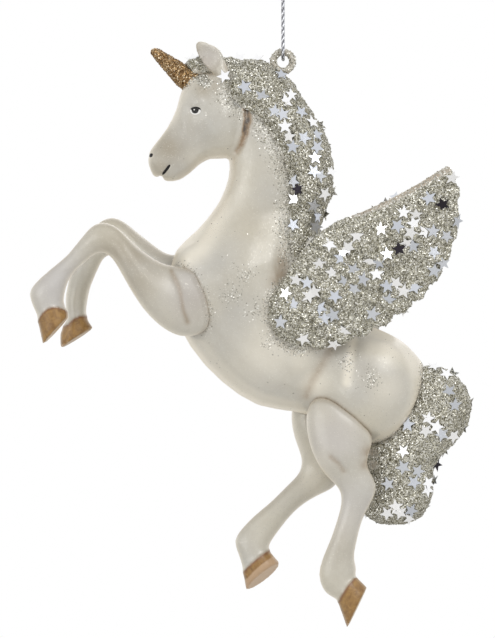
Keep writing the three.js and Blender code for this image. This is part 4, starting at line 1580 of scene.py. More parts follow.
@dataclass
class BodyCasting:
    """The trunk, neck, head and ears in one casting."""

    voxel: float = 0.38 * MM
    cheek: tuple[Pixel, ...] = ((247, 108), (248, 122), (245, 135), (241, 145), (237, 152), (233, 160))
    # The cheek groove's tones, strongest at the top, and its dark left edge: antiquing and painted shade in
    # the groove, turning umber in its core.
    cheek_tones: tuple[float, ...] = (2.1, 1.7, 1.25, 0.8, 0.3)
    cheek_edge: Crease = Crease(((244.5, 109), (245.5, 121), (243.5, 132)), 0.4 * MM, 2.2)
    seam_grey: float = 0.28
    jaw: tuple[Pixel, ...] = ((231, 160), (205, 160), (182, 176))
    mouth: tuple[Pixel, ...] = ((170, 165), (162, 175), (157, 179))
    flank: tuple[Pixel, ...] = ((333, 343), (323, 361), (313, 379), (306, 396))
    wing_shade: tuple[Pixel, ...] = ((299, 226), (293, 243), (284, 262), (277, 284))
    throat: tuple[Pixel, ...] = ((232, 161), (228, 186), (214, 214))
    fold: tuple[Pixel, ...] = ((353, 348), (350, 365), (347, 384))
    forelock: tuple[Pixel, ...] = ((190, 69), (198, 71), (205, 82))
    forelock_reach: float = 2.4 * MM
    poll: tuple[Pixel, ...] = ((224, 62), (228, 76), (233, 92))
    poll_reach: float = 2.2 * MM
    ear: tuple[Pixel, ...] = ((201, 46), (209, 58), (217, 71))
    ear_middle: Pixel = (204.0, 58.0)
    head: tuple[Pixel, ...] = ((226, 92), (198, 116), (162, 166))
    lips: Pixel = (158.0, 173.0)
    haunch: Pixel = (369.0, 386.0)
    dust_spots: tuple[Pixel, ...] = ((245, 275), (232, 295), (255, 310), (270, 340), (345, 360), (370, 378))
    greys: tuple[Wash, ...] = (
        Wash((168, 148), 4.4 * MM, 0.75),
        Wash((160, 165), 3.0 * MM, 0.55),
        Wash((186, 132), 4.0 * MM, 0.25),
        Wash((207, 58), 3.0 * MM, 0.42),
        Wash((203, 90), 2.2 * MM, 0.6),
        Wash((214, 88), 1.6 * MM, 0.5),
        Wash((226, 288), 6.0 * MM, 0.16),
        Wash((252, 222), 5.0 * MM, 0.2),
        Wash((370, 372), 4.0 * MM, 0.15),
    )
    colds: tuple[Wash, ...] = (Wash((207, 57), 3.6 * MM, 0.5),)
    # Painted highlights of warm cream: spots on the belly, neck, face, haunch and flank, and lines down the
    # chest front and along the haunch fold.
    painted_highlights: tuple[Wash, ...] = (
        Wash((265, 355), 7.0 * MM, 0.5),
        Wash((236, 196), 4.0 * MM, 0.25),
        Wash((192, 156), 2.4 * MM, 0.3),
        Wash((385, 388), 4.0 * MM, 0.4),
        Wash((390, 344), 4.6 * MM, 1.0),
        Wash((376, 342), 4.0 * MM, 0.7),
        Wash((314, 384), 3.4 * MM, 0.75),
        Wash((298, 360), 4.0 * MM, 0.4),
    )
    painted_highlight_lines: tuple[Crease, ...] = (
        Crease(((222, 200), (214, 226), (201, 250), (184, 262)), 2.6 * MM, 0.75),
        Crease(((353, 340), (349, 362), (346, 382)), 1.2 * MM, 0.85),
    )

    mounds: tuple[Mound, ...] = (
        Mound((187, 257), 3.6 * MM, 1.4 * MM),
        Mound((230, 78), 1.5 * MM, 0.7 * MM),
        Mound((222, 131), 4.6 * MM, 0.45 * MM),
        Mound((196, 102), 1.6 * MM, 0.35 * MM),
        Mound((195, 113), 1.5 * MM, -0.3 * MM),
        Mound((209, 99), 2.0 * MM, -0.25 * MM),
        Mound((152, 155), 0.8 * MM, -0.35 * MM),
        Mound((157, 160), 1.6 * MM, 0.2 * MM),
    )
    grooves: tuple[Groove, ...] = (
        Groove(cheek[:5], 0.75 * MM, 0.55 * MM),
        Groove(mouth, 0.4 * MM, 0.35 * MM),
        Groove(jaw, 0.8 * MM, 0.12 * MM),
        Groove(flank, 2.0 * MM, 0.5 * MM),
        Groove(fold, 1.3 * MM, 0.35 * MM),
    )
    broad_mounds: tuple[Mound, ...] = (
        Mound((228, 288), 6.0 * MM, 0.4 * MM),
        Mound((352, 372), 3.4 * MM, -0.3 * MM),
        Mound((377, 374), 4.4 * MM, 0.35 * MM),
    )
    # Tan lines: antiquing along the jaw and throat, and painted shade in the flank crease and between the
    # mane and the wing root.
    creases: tuple[Crease, ...] = (
        Crease(jaw, 1.2 * MM, 0.16),
        Crease(flank, 1.1 * MM, 0.42),
        Crease(wing_shade, 1.9 * MM, 0.62),
        Crease(throat, 1.4 * MM, 0.2),
    )
    passes: int = 60
    haunch_passes: int = 160
    last_passes: int = 2
    proud: float = 0.08 * MM
    head_reach: tuple[float, float] = (9 * MM, 16 * MM)
    haunch_reach: tuple[float, float] = (14 * MM, 18 * MM)
    crisp: tuple[tuple[Pixel, float, float], ...] = (
        (ear_middle, 4 * MM, 6.5 * MM),
        (lips, 1.6 * MM, 3.6 * MM),
    )
    crisp_weight: float = 0.25
    mane_stray: tuple[float, float, float] = (1.1, 5.5 * MM, 2.2)
    trim_stray: tuple[float, float, float] = (0.9, 2.2 * MM, 1.6)
    tuft_stray: float = 1.2
    tuft_core: float = 0.35
    cup_tones: tuple[float, float] = (0.3, 0.35)
    cup_floors: tuple[Pixel, Pixel] = ((0, 76), (0, 78))
    rim_start: float = 0.92
    beside_trim_shade: float = 0.4
    ear_reach: float = 5.5 * MM
    ear_clean: tuple[float, float] = (2.3 * MM, 2.9 * MM)
    ear_side: float = 1.9 * MM
    cheek_width: float = 0.75 * MM
    cheek_clean: tuple[float, float] = (0.9 * MM, 1.6 * MM)
    seam_reach: float = 0.85 * MM
    seam_grey_reach: float = 2.0 * MM
    trim_reach: float = 3 * MM
    dust_reach: float = 1.9 * MM
    dust_strength: float = 0.46
    least_dust: float = 0.003
    loose: Sprinkle = Sprinkle(5, 3200, (0.1, 0.18), tilt=0.75, lift=0.04 * MM, bias=1.5)

    def sculpt(self) -> Cast:
        """Smooths the casting and presses its details.

        Returns:
            The sculpted casting.
        """
        cast = Cast("body_casting", "body_skin", self.voxel)
        clay = cast.clay
        from_head = route_distance(clay.points, PHOTO.route(self.head))
        weight = STIFF + FREE * smoothstep(*self.head_reach, from_head)
        for pixel, near, far in self.crisp:
            free = smoothstep(near, far, PHOTO.apart(clay.points, pixel))
            weight *= self.crisp_weight + (1 - self.crisp_weight) * free
        cast.smooth(self.passes, weight, self.proud)
        from_haunch = PHOTO.apart(clay.points, self.haunch)
        clay.relax(self.haunch_passes, 1 - smoothstep(*self.haunch_reach, from_haunch))
        for mound in self.mounds:
            clay.swell(mound)
        for groove in self.grooves:
            clay.groove(groove)
        for mound in self.broad_mounds:
            clay.swell(mound)
        clay.relax(self.last_passes)
        clay.store()
        return cast

    def stray(self, points: np.ndarray, mane: Cast, trim: Sequence[Cast]) -> np.ndarray:
        """How much glitter has strayed from the mane, wings and tail; ears and cheeks stay clean.

        Args:
            points: Rows of x, y and z.
            mane: The mane.
            trim: The wings and the tail.

        Returns:
            For each point, 0 to 1.
        """
        found = np.zeros(len(points))
        for casts, (share, reach, fall) in (([mane], self.mane_stray), (trim, self.trim_stray)):
            found = np.maximum(found, share * nearness(points, casts, reach) ** fall)
        for pixels, reach in ((self.forelock, self.forelock_reach), (self.poll, self.poll_reach)):
            distance = route_distance(points, PHOTO.route(pixels))
            tuft = 1 - smoothstep(self.tuft_core, 1.0, distance / reach)
            found = np.maximum(found, self.tuft_stray * tuft)
        from_ear = route_distance(points, PHOTO.route(self.ear))
        clean = (1 - smoothstep(*self.ear_clean, from_ear)) * (np.abs(points[:, 1]) > self.ear_side)
        from_groove = route_distance(points, PHOTO.route(self.cheek))
        clean = np.maximum(clean, 1 - smoothstep(*self.cheek_clean, from_groove))
        return np.clip(found, 0, 1) * (1 - clean)

    def ear_cup(self, points: np.ndarray, normals: np.ndarray) -> np.ndarray:
        """Painted shade in the cups of the ears: grey before the ear's fold and on faces turned forward.

        Args:
            points: Rows of x, y and z.
            normals: Which way each point faces.

        Returns:
            For each point, 0 to 1.
        """
        in_ear = PHOTO.apart(points, self.ear_middle) < self.ear_reach
        fold_x, fold_z = PHOTO.route(self.ear[::-1]).T
        before_fold = points[:, 0] - np.interp(points[:, 2], fold_z, fold_x)
        left = smoothstep(0.3 * MM, -0.1 * MM, before_fold)
        forward = smoothstep(0.05, 0.5, -normals[:, 0])
        cup = np.zeros(len(points))
        for tone, mask, floor in zip(self.cup_tones, (left, forward), self.cup_floors):
            cup += tone * in_ear * mask * (points[:, 2] > PHOTO.spot(floor)[1])
        return cup

    def dress(
        self, cast: Cast, legs: Sequence[Cast], trim: Sequence[Cast], shapes: Shapes, finishes: Finishes
    ) -> None:
        """Paints the casting: antiqued creases and seams, painted shade in the creases, beside the wings,
        tail and mane and in the ear cups, a painted highlight along the outline and on listed spots, and
        glitter strayed from the mane and wings.

        Args:
            cast: The sculpted casting.
            legs: The leg castings, whose seams are antiqued.
            trim: The mane, tail and wings, whose glitter strays.
            shapes: The cut shapes.
            finishes: The materials.
        """
        clay, piece = cast.clay, cast.piece
        points = clay.points
        # The cheek groove: antiquing with painted shade.
        groove = [
            Crease(pair, self.cheek_width, tone)
            for pair, tone in zip(pairwise(self.cheek), self.cheek_tones)
        ]
        groove.append(self.cheek_edge)
        antique = brushed(clay, (), self.creases)
        for leg, casting in zip(LEGS, legs):
            seam = leg.seam * nearness(points, [casting], self.seam_reach) ** SEAM_FALL
            antique = np.maximum(antique, seam)
        # Painted shade on the body beside the wings, tail and mane.
        beside = smoothstep(0.4, 1.0, nearness(points, trim, self.trim_reach))
        antique = np.maximum(antique, self.beside_trim_shade * beside)

        stray = self.stray(points, trim[0], trim[1:])
        dust = np.maximum(self.least_dust, stray)
        dust = np.maximum(dust, self.seam_grey * nearness(points, legs[:2], self.seam_grey_reach))
        for pixel in self.dust_spots:
            dust = np.maximum(dust, Wash(pixel, self.dust_reach, self.dust_strength).cover(clay))

        cup = self.ear_cup(points, clay.normals())
        # Painted highlights: warm cream spots and lines.
        painted_highlight = brushed(clay, self.painted_highlights, self.painted_highlight_lines)
        write_attributes(
            piece,
            antique=np.maximum(antique * (1 - stray), brushed(clay, (), groove)),
            shade=np.maximum(cup, brushed(clay, self.greys)),
            cold=brushed(clay, self.colds),
            rim=np.maximum(painted_rim_highlight(clay, legs, self.rim_start), painted_highlight),
            dust=dust,
            **NO_HOOF,
        )
        fit_piece(piece, Body.ORNAMENT, [finishes.pearl], [cast.node])

        def chance(places: np.ndarray, ways: np.ndarray) -> np.ndarray:
            """How likely a strayed flake is at each place, whichever way it faces."""
            return self.stray(places, trim[0], trim[1:])

        spread = self.loose.copies("strayed_flakes", shapes.flake, *self.loose.spread(piece, chance))
        fit_piece(spread, Body.ORNAMENT, [finishes.champagne_flake])


@dataclass
class Leg:
    """One leg casting with its painted hoof."""

    node: str
    hoof: Hoof
    root: Pixel
    seam: float
    creases: tuple[Crease, ...] = ()
    # Folds painted in the shade colour, as painted shade.
    folds: tuple[Crease, ...] = ()
    grooves: tuple[Groove, ...] = ()
    greys: tuple[Wash, ...] = ()
    colds: tuple[Wash, ...] = ()
    stains: tuple[Wash, ...] = ()
    seam_dust: float = 0.0
    sole_turn: tuple[float, float] = (0.6, 0.85)
    shown_wall: float | None = None
    # Painted highlight spots.
    painted_highlights: tuple[Wash, ...] = ()
    passes: int = 360
    voxel: float = 0.3 * MM
    soft_reach: tuple[float, float] = (28 * MM, 18 * MM)
    proud: float = 0.1 * MM
    feather: float = 1.8 * MM
    sunk: float = 0.1 * MM
    welt: float = 0.12 * MM
    welt_reach: float = 0.45 * MM
    seam_reach: float = 1.0 * MM
    seam_dust_reach: float = 1.8 * MM
    hoof_weight: float = 0.75
    coronet_stain: float = 0.85
    coronet_stain_reach: float = 0.35 * MM
    coronet_tone: float = 0.8
    coronet_reach: float = 0.4 * MM
    top_shade: float = 0.45
    rim_share: float = 0.7
    rim_start: float = 0.8

    def sculpt(self, trunk: BVHTree) -> Cast:
        """Smooths the leg, sets it into the trunk, presses its grooves and steps the hoof below its coronet.

        Args:
            trunk: The body casting's search tree.

        Returns:
            The sculpted casting.
        """
        cast = Cast(self.node, self.node + "_skin", self.voxel)
        clay = cast.clay
        weight = STIFF + FREE * smoothstep(*self.soft_reach, PHOTO.apart(clay.points, self.root))
        in_hoof = smoothstep(-0.6 * MM, 0.6 * MM, self.hoof.share(clay.points))
        weight *= 1 - self.hoof_weight * in_hoof
        cast.smooth(self.passes, weight, self.proud)
        clay.settle([trunk], self.feather, self.sunk)
        for groove in self.grooves:
            clay.groove(groove)
        clay.push(self.welt * bell(self.hoof.share(clay.points), self.welt_reach))
        clay.store()
        return cast

    def dress(self, cast: Cast, neighbours: Sequence[Cast], finishes: Finishes) -> None:
        """Paints the leg and its hoof, with painted shade on its top and in its folds, and a painted
        highlight along its outline and on listed spots.

        Args:
            cast: The sculpted casting.
            neighbours: The castings that it seats against.
            finishes: The materials.
        """
        clay = cast.clay
        points, normals = clay.points, clay.normals()
        below = self.hoof.share(points)
        hoof = smoothstep(-0.08 * MM, 0.12 * MM, below)
        seam = self.seam * nearness(points, neighbours, self.seam_reach) ** SEAM_FALL
        antique = np.maximum(brushed(clay, (), self.creases), seam)
        antique = np.maximum(antique, self.coronet_stain * bell(below, self.coronet_stain_reach))
        for stain in self.stains:
            antique = np.maximum(antique, stain.soak(points))
        start, end, toe = PHOTO.route((self.hoof.start, self.hoof.end, self.hoof.toe))
        away = toe - (start + end) / 2
        away /= np.linalg.norm(away)
        sole = smoothstep(*self.sole_turn, normals[:, 0] * away[0] + normals[:, 2] * away[1])
        if self.shown_wall is not None:
            shown = smoothstep(0.0, 0.25 * MM, below - self.shown_wall) * (normals[:, 1] < 0)
            sole = np.maximum(sole, shown)
        # Painted shade on the up-facing tops; the painted rim highlight fades out there.
        top = smoothstep(0.3, 0.85, normals[:, 2])
        below_top = 1 - smoothstep(0.1, 0.6, normals[:, 2])
        rim = self.rim_share * painted_rim_highlight(clay, neighbours, self.rim_start) * below_top
        write_attributes(
            cast.piece,
            antique=antique,
            hoof=hoof,
            coronet=self.coronet_tone * bell(below, self.coronet_reach),
            sole=sole,
            shade=np.maximum(brushed(clay, self.greys, self.folds), self.top_shade * top),
            cold=brushed(clay, self.colds),
            rim=np.maximum(rim, brushed(clay, self.painted_highlights)) * (1 - hoof),
            dust=self.seam_dust * nearness(points, neighbours, self.seam_dust_reach),
        )
        fit_piece(cast.piece, Body.ORNAMENT, [finishes.pearl], [cast.node])


@dataclass(frozen=True)
class StarChart:
    """Where star sequins lie on a piece's near side, sorted by how they catch the light; their foil tones,
    white, pale and dark, are painted reflections.
    """

    white: tuple[Pixel, ...] = ()
    pale: tuple[Pixel, ...] = ()
    dark: tuple[Pixel, ...] = ()
    white_tone: float = 0.8
    pale_tone: float = 0.1
    pale_range: float = 0.2
    pale_steps: int = 5

    def pixels(self) -> tuple[Pixel, ...]:
        """Every star's place in the photograph."""
        return self.white + self.pale + self.dark

    def tones(self) -> np.ndarray:
        """Every star's tone, a painted reflection.

        Returns:
            The tones, in the order of the pixels.
        """
        steps = np.arange(len(self.pale)) % self.pale_steps
        pale = self.pale_tone + self.pale_range * steps / (self.pale_steps - 1)
        return np.concatenate([np.full(len(self.white), self.white_tone), pale, np.zeros(len(self.dark))])


@dataclass
class GlitterPiece:
    """A casting under glitter: a gritty bed, loose flakes and, on some, star sequins."""

    node: str
    seed: int
    flakes: int
    stars: int = 0
    chart: StarChart = StarChart()
    slot: Slot = Slot.GLITTER
    passes: int = 8
    voxel: float = 0.32 * MM
    grit: float = 0.07 * MM
    lumps: float = 0.12 * MM
    flake_size: tuple[float, float] = (0.12, 0.2)
    deep: float = 0.0
    feather: float = 1.7 * MM
    plain_edge: tuple[Pixel, ...] = ()
    bare_side: Side | None = None
    thin: tuple[Wash, ...] = ()
    stain: float = 0.0
    thin_height: float = 0.5 * MM
    edge_reach: tuple[float, float] = (1.2 * MM, 2.2 * MM)
    edge_stain: float = 0.6
    sunk: float = 0.08 * MM
    star_size: tuple[float, float] = (0.96, 1.12)
    stars_apart: float = 1.7 * MM
    least_star_tone: float = 0.25
    star_tilt: float = 0.25
    star_lift: float = 0.27 * MM
    flake_tilt: float = 0.75
    flake_lift: float = 0.05 * MM
    thin_dust: float = 0.45
    edge_dust: float = 0.55
    worn_dust: float = 0.7
    least_dust: float = 0.05
    most_dust: float = 0.9
    thin_flakes: float = 0.75
    edge_flakes: float = 0.85
    flat_lean: float = 0.3
    outline_lean: float = 1.2
    even_passes: int = 14

    def sculpt(self, skins: Sequence[BVHTree]) -> Cast:
        """Smooths the casting, closes its seams with glitter and roughens its bed.

        Args:
            skins: The search trees of the castings that it seats against.

        Returns:
            The sculpted casting.
        """
        cast = Cast(self.node, self.node + "_bed", self.voxel)
        clay = cast.clay
        clay.relax(self.passes)
        clay.settle(skins, self.feather, self.sunk)
        rng = np.random.default_rng(self.seed)
        clumps = clay.averaged(rng.normal(size=(len(clay.points), 1)), 8, 1.0)[:, 0]
        rough = self.grit * rng.normal(size=len(clay.points)) + self.lumps * clumps / clumps.std()
        clay.push(rough * self.covered(clay.normals()) * (1 - 0.8 * self.plain(clay.points)))
        clay.store()
        return cast

    def covered(self, normals: np.ndarray) -> np.ndarray:
        """How much glitter each point holds: all of it, or none on a bare inner face.

        Args:
            normals: Which way each point faces.

        Returns:
            A share from 0 to 1.
        """
        if self.bare_side is None:
            return np.ones(len(normals))
        return 1 - smoothstep(0.35, 0.6, self.bare_side.value * normals[:, 1])

    def plain(self, points: np.ndarray) -> np.ndarray:
        """How plainly each point lies on the smooth leading edge, where few flakes stick.

        Args:
            points: Rows of x, y and z.

        Returns:
            For each point, 0 to 1.
        """
        if not self.plain_edge:
            return np.zeros(len(points))
        return 1 - smoothstep(*self.edge_reach, route_distance(points, PHOTO.route(self.plain_edge)))

    def sparse(self, points: np.ndarray, skin: BVHTree) -> np.ndarray:
        """How thinly the glitter lies: where the bed runs out on to the body, and on the charted thin spots.

        Args:
            points: Rows of x, y and z.
            skin: The body casting's search tree.

        Returns:
            For each point, 0 to 1.
        """
        height = np.array([skin.find_nearest(Vector(point))[3] for point in points])
        found = 1 - smoothstep(0.2 * self.thin_height, self.thin_height, height)
        return np.maximum(found, self.worn(points))

    def worn(self, points: np.ndarray) -> np.ndarray:
        """How far each point lies on the charted thin spots.

        Args:
            points: Rows of x, y and z.

        Returns:
            For each point, 0 to 1.
        """
        found = np.zeros(len(points))
        for wash in self.thin:
            found = np.maximum(found, wash.soak(points))
        return found

    def dress(self, cast: Cast, skin: BVHTree, shapes: Shapes, finishes: Finishes) -> None:
        """Coats the bed and sprinkles its flakes and stars.

        Args:
            cast: The sculpted casting.
            skin: The body casting's search tree.
            shapes: The cut shapes.
            finishes: The materials.
        """
        gold = self.slot is Slot.GOLD
        bed = finishes.gold if gold else finishes.champagne
        flake = finishes.gold_flake if gold else finishes.champagne_flake
        piece = cast.piece
        fit_piece(piece, Body.ORNAMENT, [bed, finishes.pearl], [cast.node])
        points = cast.clay.points
        sparse, worn = self.sparse(points, skin), self.worn(points)
        held = self.covered(cast.clay.normals())
        plain = self.plain(points) * held
        thinned = np.maximum.reduce(
            [self.thin_dust * sparse, self.edge_dust * plain, self.worn_dust * worn]
        )
        write_attributes(
            piece,
            antique=np.maximum(self.stain * worn, self.edge_stain * plain),
            dust=self.least_dust + self.most_dust * held * (1 - thinned),
            deep=self.deep,
            shade=0.0,
            cold=0.0,
            rim=0.0,
            **NO_HOOF,
        )
        painted = np.maximum.reduce([1 - held, sparse, plain])
        corners = read_rows(piece.data.loops, "vertex_index", 1, np.int32)[:, 0]
        starts = read_rows(piece.data.polygons, "loop_start", 1, np.int32)[:, 0]
        bare = (painted[corners[starts]] > 0.5).astype(np.int32)
        piece.data.polygons.foreach_set("material_index", bare)

        def chance(places: np.ndarray, normals: np.ndarray) -> np.ndarray:
            """How likely a loose flake is at each place.

            Args:
                places: Rows of x, y and z.
                normals: Which way each place faces.

            Returns:
                For each place, 0 to 1.
            """
            thick = 1 - self.thin_flakes * self.sparse(places, skin)
            unworn = np.minimum(thick, 1 - self.worn(places))
            return self.covered(normals) * (1 - self.edge_flakes * self.plain(places)) * unworn

        loose = Sprinkle(
            self.seed,
            self.flakes,
            self.flake_size,
            tilt=self.flake_tilt,
            lift=self.flake_lift,
            bias=1 + 2 * self.deep,
        )
        spread = loose.copies(self.node + "_flakes", shapes.flake, *loose.spread(piece, chance))
        fit_piece(spread, Body.ORNAMENT, [flake])
        places, ways, tones = self.charted(cast, skin)
        if self.stars:
            cut = Sprinkle(
                self.seed + 1,
                self.stars,
                self.star_size,
                self.stars_apart,
                self.star_tilt,
                self.star_lift,
            )
            more, facing = cut.spread(piece, self.unseen)
            chosen = np.random.default_rng(self.seed + 2).random(len(more))
            bright = self.least_star_tone + (1 - self.least_star_tone) * chosen
            places = np.vstack([places, more])
            ways = np.vstack([ways, facing])
            tones = np.concatenate([tones, bright])
            scatter = cut.copies(self.node + "_stars", shapes.star, places, ways, tones)
            fit_piece(scatter, Body.ORNAMENT, [finishes.star])

    def unseen(self, points: np.ndarray, normals: np.ndarray) -> np.ndarray:
        """How likely a loose star is at each place: on a charted piece, only where the chart can't tell."""
        covered = self.covered(normals)
        return covered * smoothstep(0.15, 0.5, normals[:, 1]) if self.chart.pixels() else covered

    def charted(self, cast: Cast, skin: BVHTree) -> tuple[np.ndarray, np.ndarray, np.ndarray]:
        """The charted stars, laid along the camera's lines of sight on the piece, or on the body before it.

        Args:
            cast: The sculpted casting.
            skin: The body casting's search tree.

        Returns:
            Rows of points, rows of directions, and the tones.
        """
        tree = cast.tree()
        ways = cast.clay.averaged(cast.clay.normals(), self.even_passes, 1.0)
        places, facing = [], []
        for pixel in self.chart.pixels():
            ahead = PHOTO.sight(pixel)
            lean = self.flat_lean
            hit, _, index, reached = tree.ray_cast(PHOTO.lens(), ahead)
            if hit is None:
                across, up = PHOTO.spot(pixel)
                hit, _, index, reached = tree.find_nearest(Vector((across, 0.0, up)))
                reached += PHOTO.distance
                lean = self.outline_lean
            way = ways[list(cast.piece.data.polygons[index].vertices)].mean(0)
            before, slope, _, sooner = skin.ray_cast(PHOTO.lens(), ahead)
            if before is not None and sooner < reached:
                hit, way = before, np.array(slope)
            way = way - lean * np.array(ahead)
            places.append(np.array(hit))
            facing.append(way / np.linalg.norm(way))
        return np.array(places).reshape(-1, 3), np.array(facing).reshape(-1, 3), self.chart.tones()


@dataclass
class FacePaint:
    """The painted eyes, nostrils and mouth, brushed on both sides of the head."""

    eye: Pixel = (195.7, 111.0)
    eye_size: tuple[float, float] = (1.3 * MM, 1.05 * MM)
    nostril: Pixel = (151.2, 155.6)
    mouth: tuple[Pixel, ...] = ((170.2, 165.0), (167.0, 169.4), (162.6, 174.8))
    mouth_width: float = 0.32 * MM
    film: float = 0.05 * MM
    eye_grid: tuple[int, int] = (49, 33)
    upper_lid: float = 0.82
    pupil: tuple[float, float, float, float] = (-0.06, 0.06, 0.66, 0.8)
    glint: tuple[float, float, float, float] = (-0.22, 0.15, 0.13, 0.15)
    dark_tone: float = 0.02
    white_tone: float = 0.93
    stroke_columns: int = 7
    nostril_width: float = 0.36 * MM
    nostril_dot: tuple[Pixel, ...] = ((1.2, -1.8), (0.0, 0.0), (-0.6, 1.8))
    lid_power: float = 2.2
    lash_height: float = 0.3
    lash_corner: float = -0.9
    clear_of_head: float = 50 * MM

    def drape(self, flat: np.ndarray, tree: BVHTree, side: Side) -> np.ndarray:
        """Lays flat points on the head, seen from one side.

        Args:
            flat: Rows of x and z.
            tree: The head's search tree.
            side: The side to lay them on.

        Returns:
            Rows of x, y and z, a film's thickness off the head.
        """
        away = Vector((0.0, side.value, 0.0))
        placed = []
        for across, up in flat:
            start = Vector((across, side.value * self.clear_of_head, up))
            hit, normal, _, _ = tree.ray_cast(start, -away)
            if hit is None:
                hit, normal, _, _ = tree.find_nearest(Vector((across, 0.0, up)))
            placed.append(hit + normal * self.film)
        return np.array(placed)

    def patch(
        self, name: str, flat: np.ndarray, columns: int, tones: np.ndarray, tree: BVHTree, side: Side
    ) -> bpy.types.Object:
        """A thin film of enamel over a grid of points.

        Args:
            name: The piece's name.
            flat: Rows of x and z, row by row of the grid.
            columns: How many points a row has.
            tones: The enamel's shade at each point.
            tree: The head's search tree.
            side: The side it is painted on.

        Returns:
            The piece.
        """
        rows = len(flat) // columns
        corner = (np.arange(rows - 1)[:, None] * columns + np.arange(columns - 1)).ravel()
        faces = np.column_stack([corner, corner + 1, corner + columns + 1, corner + columns])
        if side is Side.FAR:
            faces = faces[:, ::-1]
        piece = new_piece(name, self.drape(flat, tree, side), faces.tolist())
        write_attributes(piece, tone=tones)
        merge_points(piece)
        apply_modifier(piece, "SOLIDIFY", thickness=2 * self.film, offset=-1.0)
        return piece

    def eye_film(self, tree: BVHTree, side: Side) -> bpy.types.Object:
        """An almond eye: white, with a dark pupil, a glint and a heavy lash line.

        Args:
            tree: The head's search tree.
            side: The side it is painted on.

        Returns:
            The piece.
        """
        columns, rows = self.eye_grid
        u, v = np.meshgrid(np.linspace(-1, 1, columns), np.linspace(-1, 1, rows))
        wide, high = self.eye_size
        edge = np.sqrt(np.clip(1 - np.abs(u) ** self.lid_power, 0, 1))
        middle_x, middle_z = PHOTO.spot(self.eye)
        flat = np.column_stack([
            (middle_x + u * wide).ravel(),
            (middle_z + v * edge * high * np.where(v > 0, self.upper_lid, 1.0)).ravel(),
        ])
        at_x, at_z = (flat[:, 0] - middle_x) / wide, (flat[:, 1] - middle_z) / high
        dark, shine = (
            np.hypot((at_x - x) / half_width, (at_z - z) / half_height) < 1
            for x, z, half_width, half_height in (self.pupil, self.glint)
        )
        lash = (v.ravel() > self.lash_height) & (at_x > self.lash_corner)
        tones = np.where(dark | lash, self.dark_tone, self.white_tone)
        tones = np.where(shine & dark, 1.0, tones)
        return self.patch(f"eye_paint_{side.name.lower()}", flat, columns, tones, tree, side)

    def stroke(
        self, name: str, pixels: Sequence[Pixel], width: float, tree: BVHTree, side: Side
    ) -> bpy.types.Object:
        """A black brush stroke along a route, tapering at its ends.

        Args:
            name: The piece's name.
            pixels: The route in the photograph.
            width: Half the stroke's width, in metres.
            tree: The head's search tree.
            side: The side it is painted on.

        Returns:
            The piece.
        """
        across, up = PHOTO.route(pixels).T
        line = smooth_route(np.column_stack([across, np.zeros(len(across)), up]), 0.1 * MM)[:, [0, 2]]
        ahead = np.gradient(line, axis=0)
        ahead /= np.linalg.norm(ahead, axis=1)[:, None]
        sideways = np.column_stack([-ahead[:, 1], ahead[:, 0]])
        share = np.linspace(0, 1, len(line))
        half = width * np.sqrt(np.clip(1 - (2 * share - 1) ** 4, 0.02, 1))
        offsets = np.linspace(1, -1, self.stroke_columns)[None, :, None]
        reach = (half[:, None] * sideways)[:, None, :]
        flat = (line[:, None, :] + offsets * reach).reshape(-1, 2)
        return self.patch(name, flat, self.stroke_columns, np.zeros(len(flat)), tree, side)

    def build(self, head: Cast, finishes: Finishes) -> None:
        """Paints both sides of the face.

        Args:
            head: The sculpted body casting.
            finishes: The materials.
        """
        tree = head.tree()
        across, up = self.nostril
        for side in Side:
            word = side.name.lower()
            dot = [(across + right, up + down) for right, down in self.nostril_dot]
            films = [
                self.eye_film(tree, side),
                self.stroke(f"nostril_paint_{word}", dot, self.nostril_width, tree, side),
                self.stroke(f"mouth_paint_{word}", self.mouth, self.mouth_width, tree, side),
            ]
            for film in films:
                fit_piece(film, Body.ORNAMENT, [finishes.enamel])


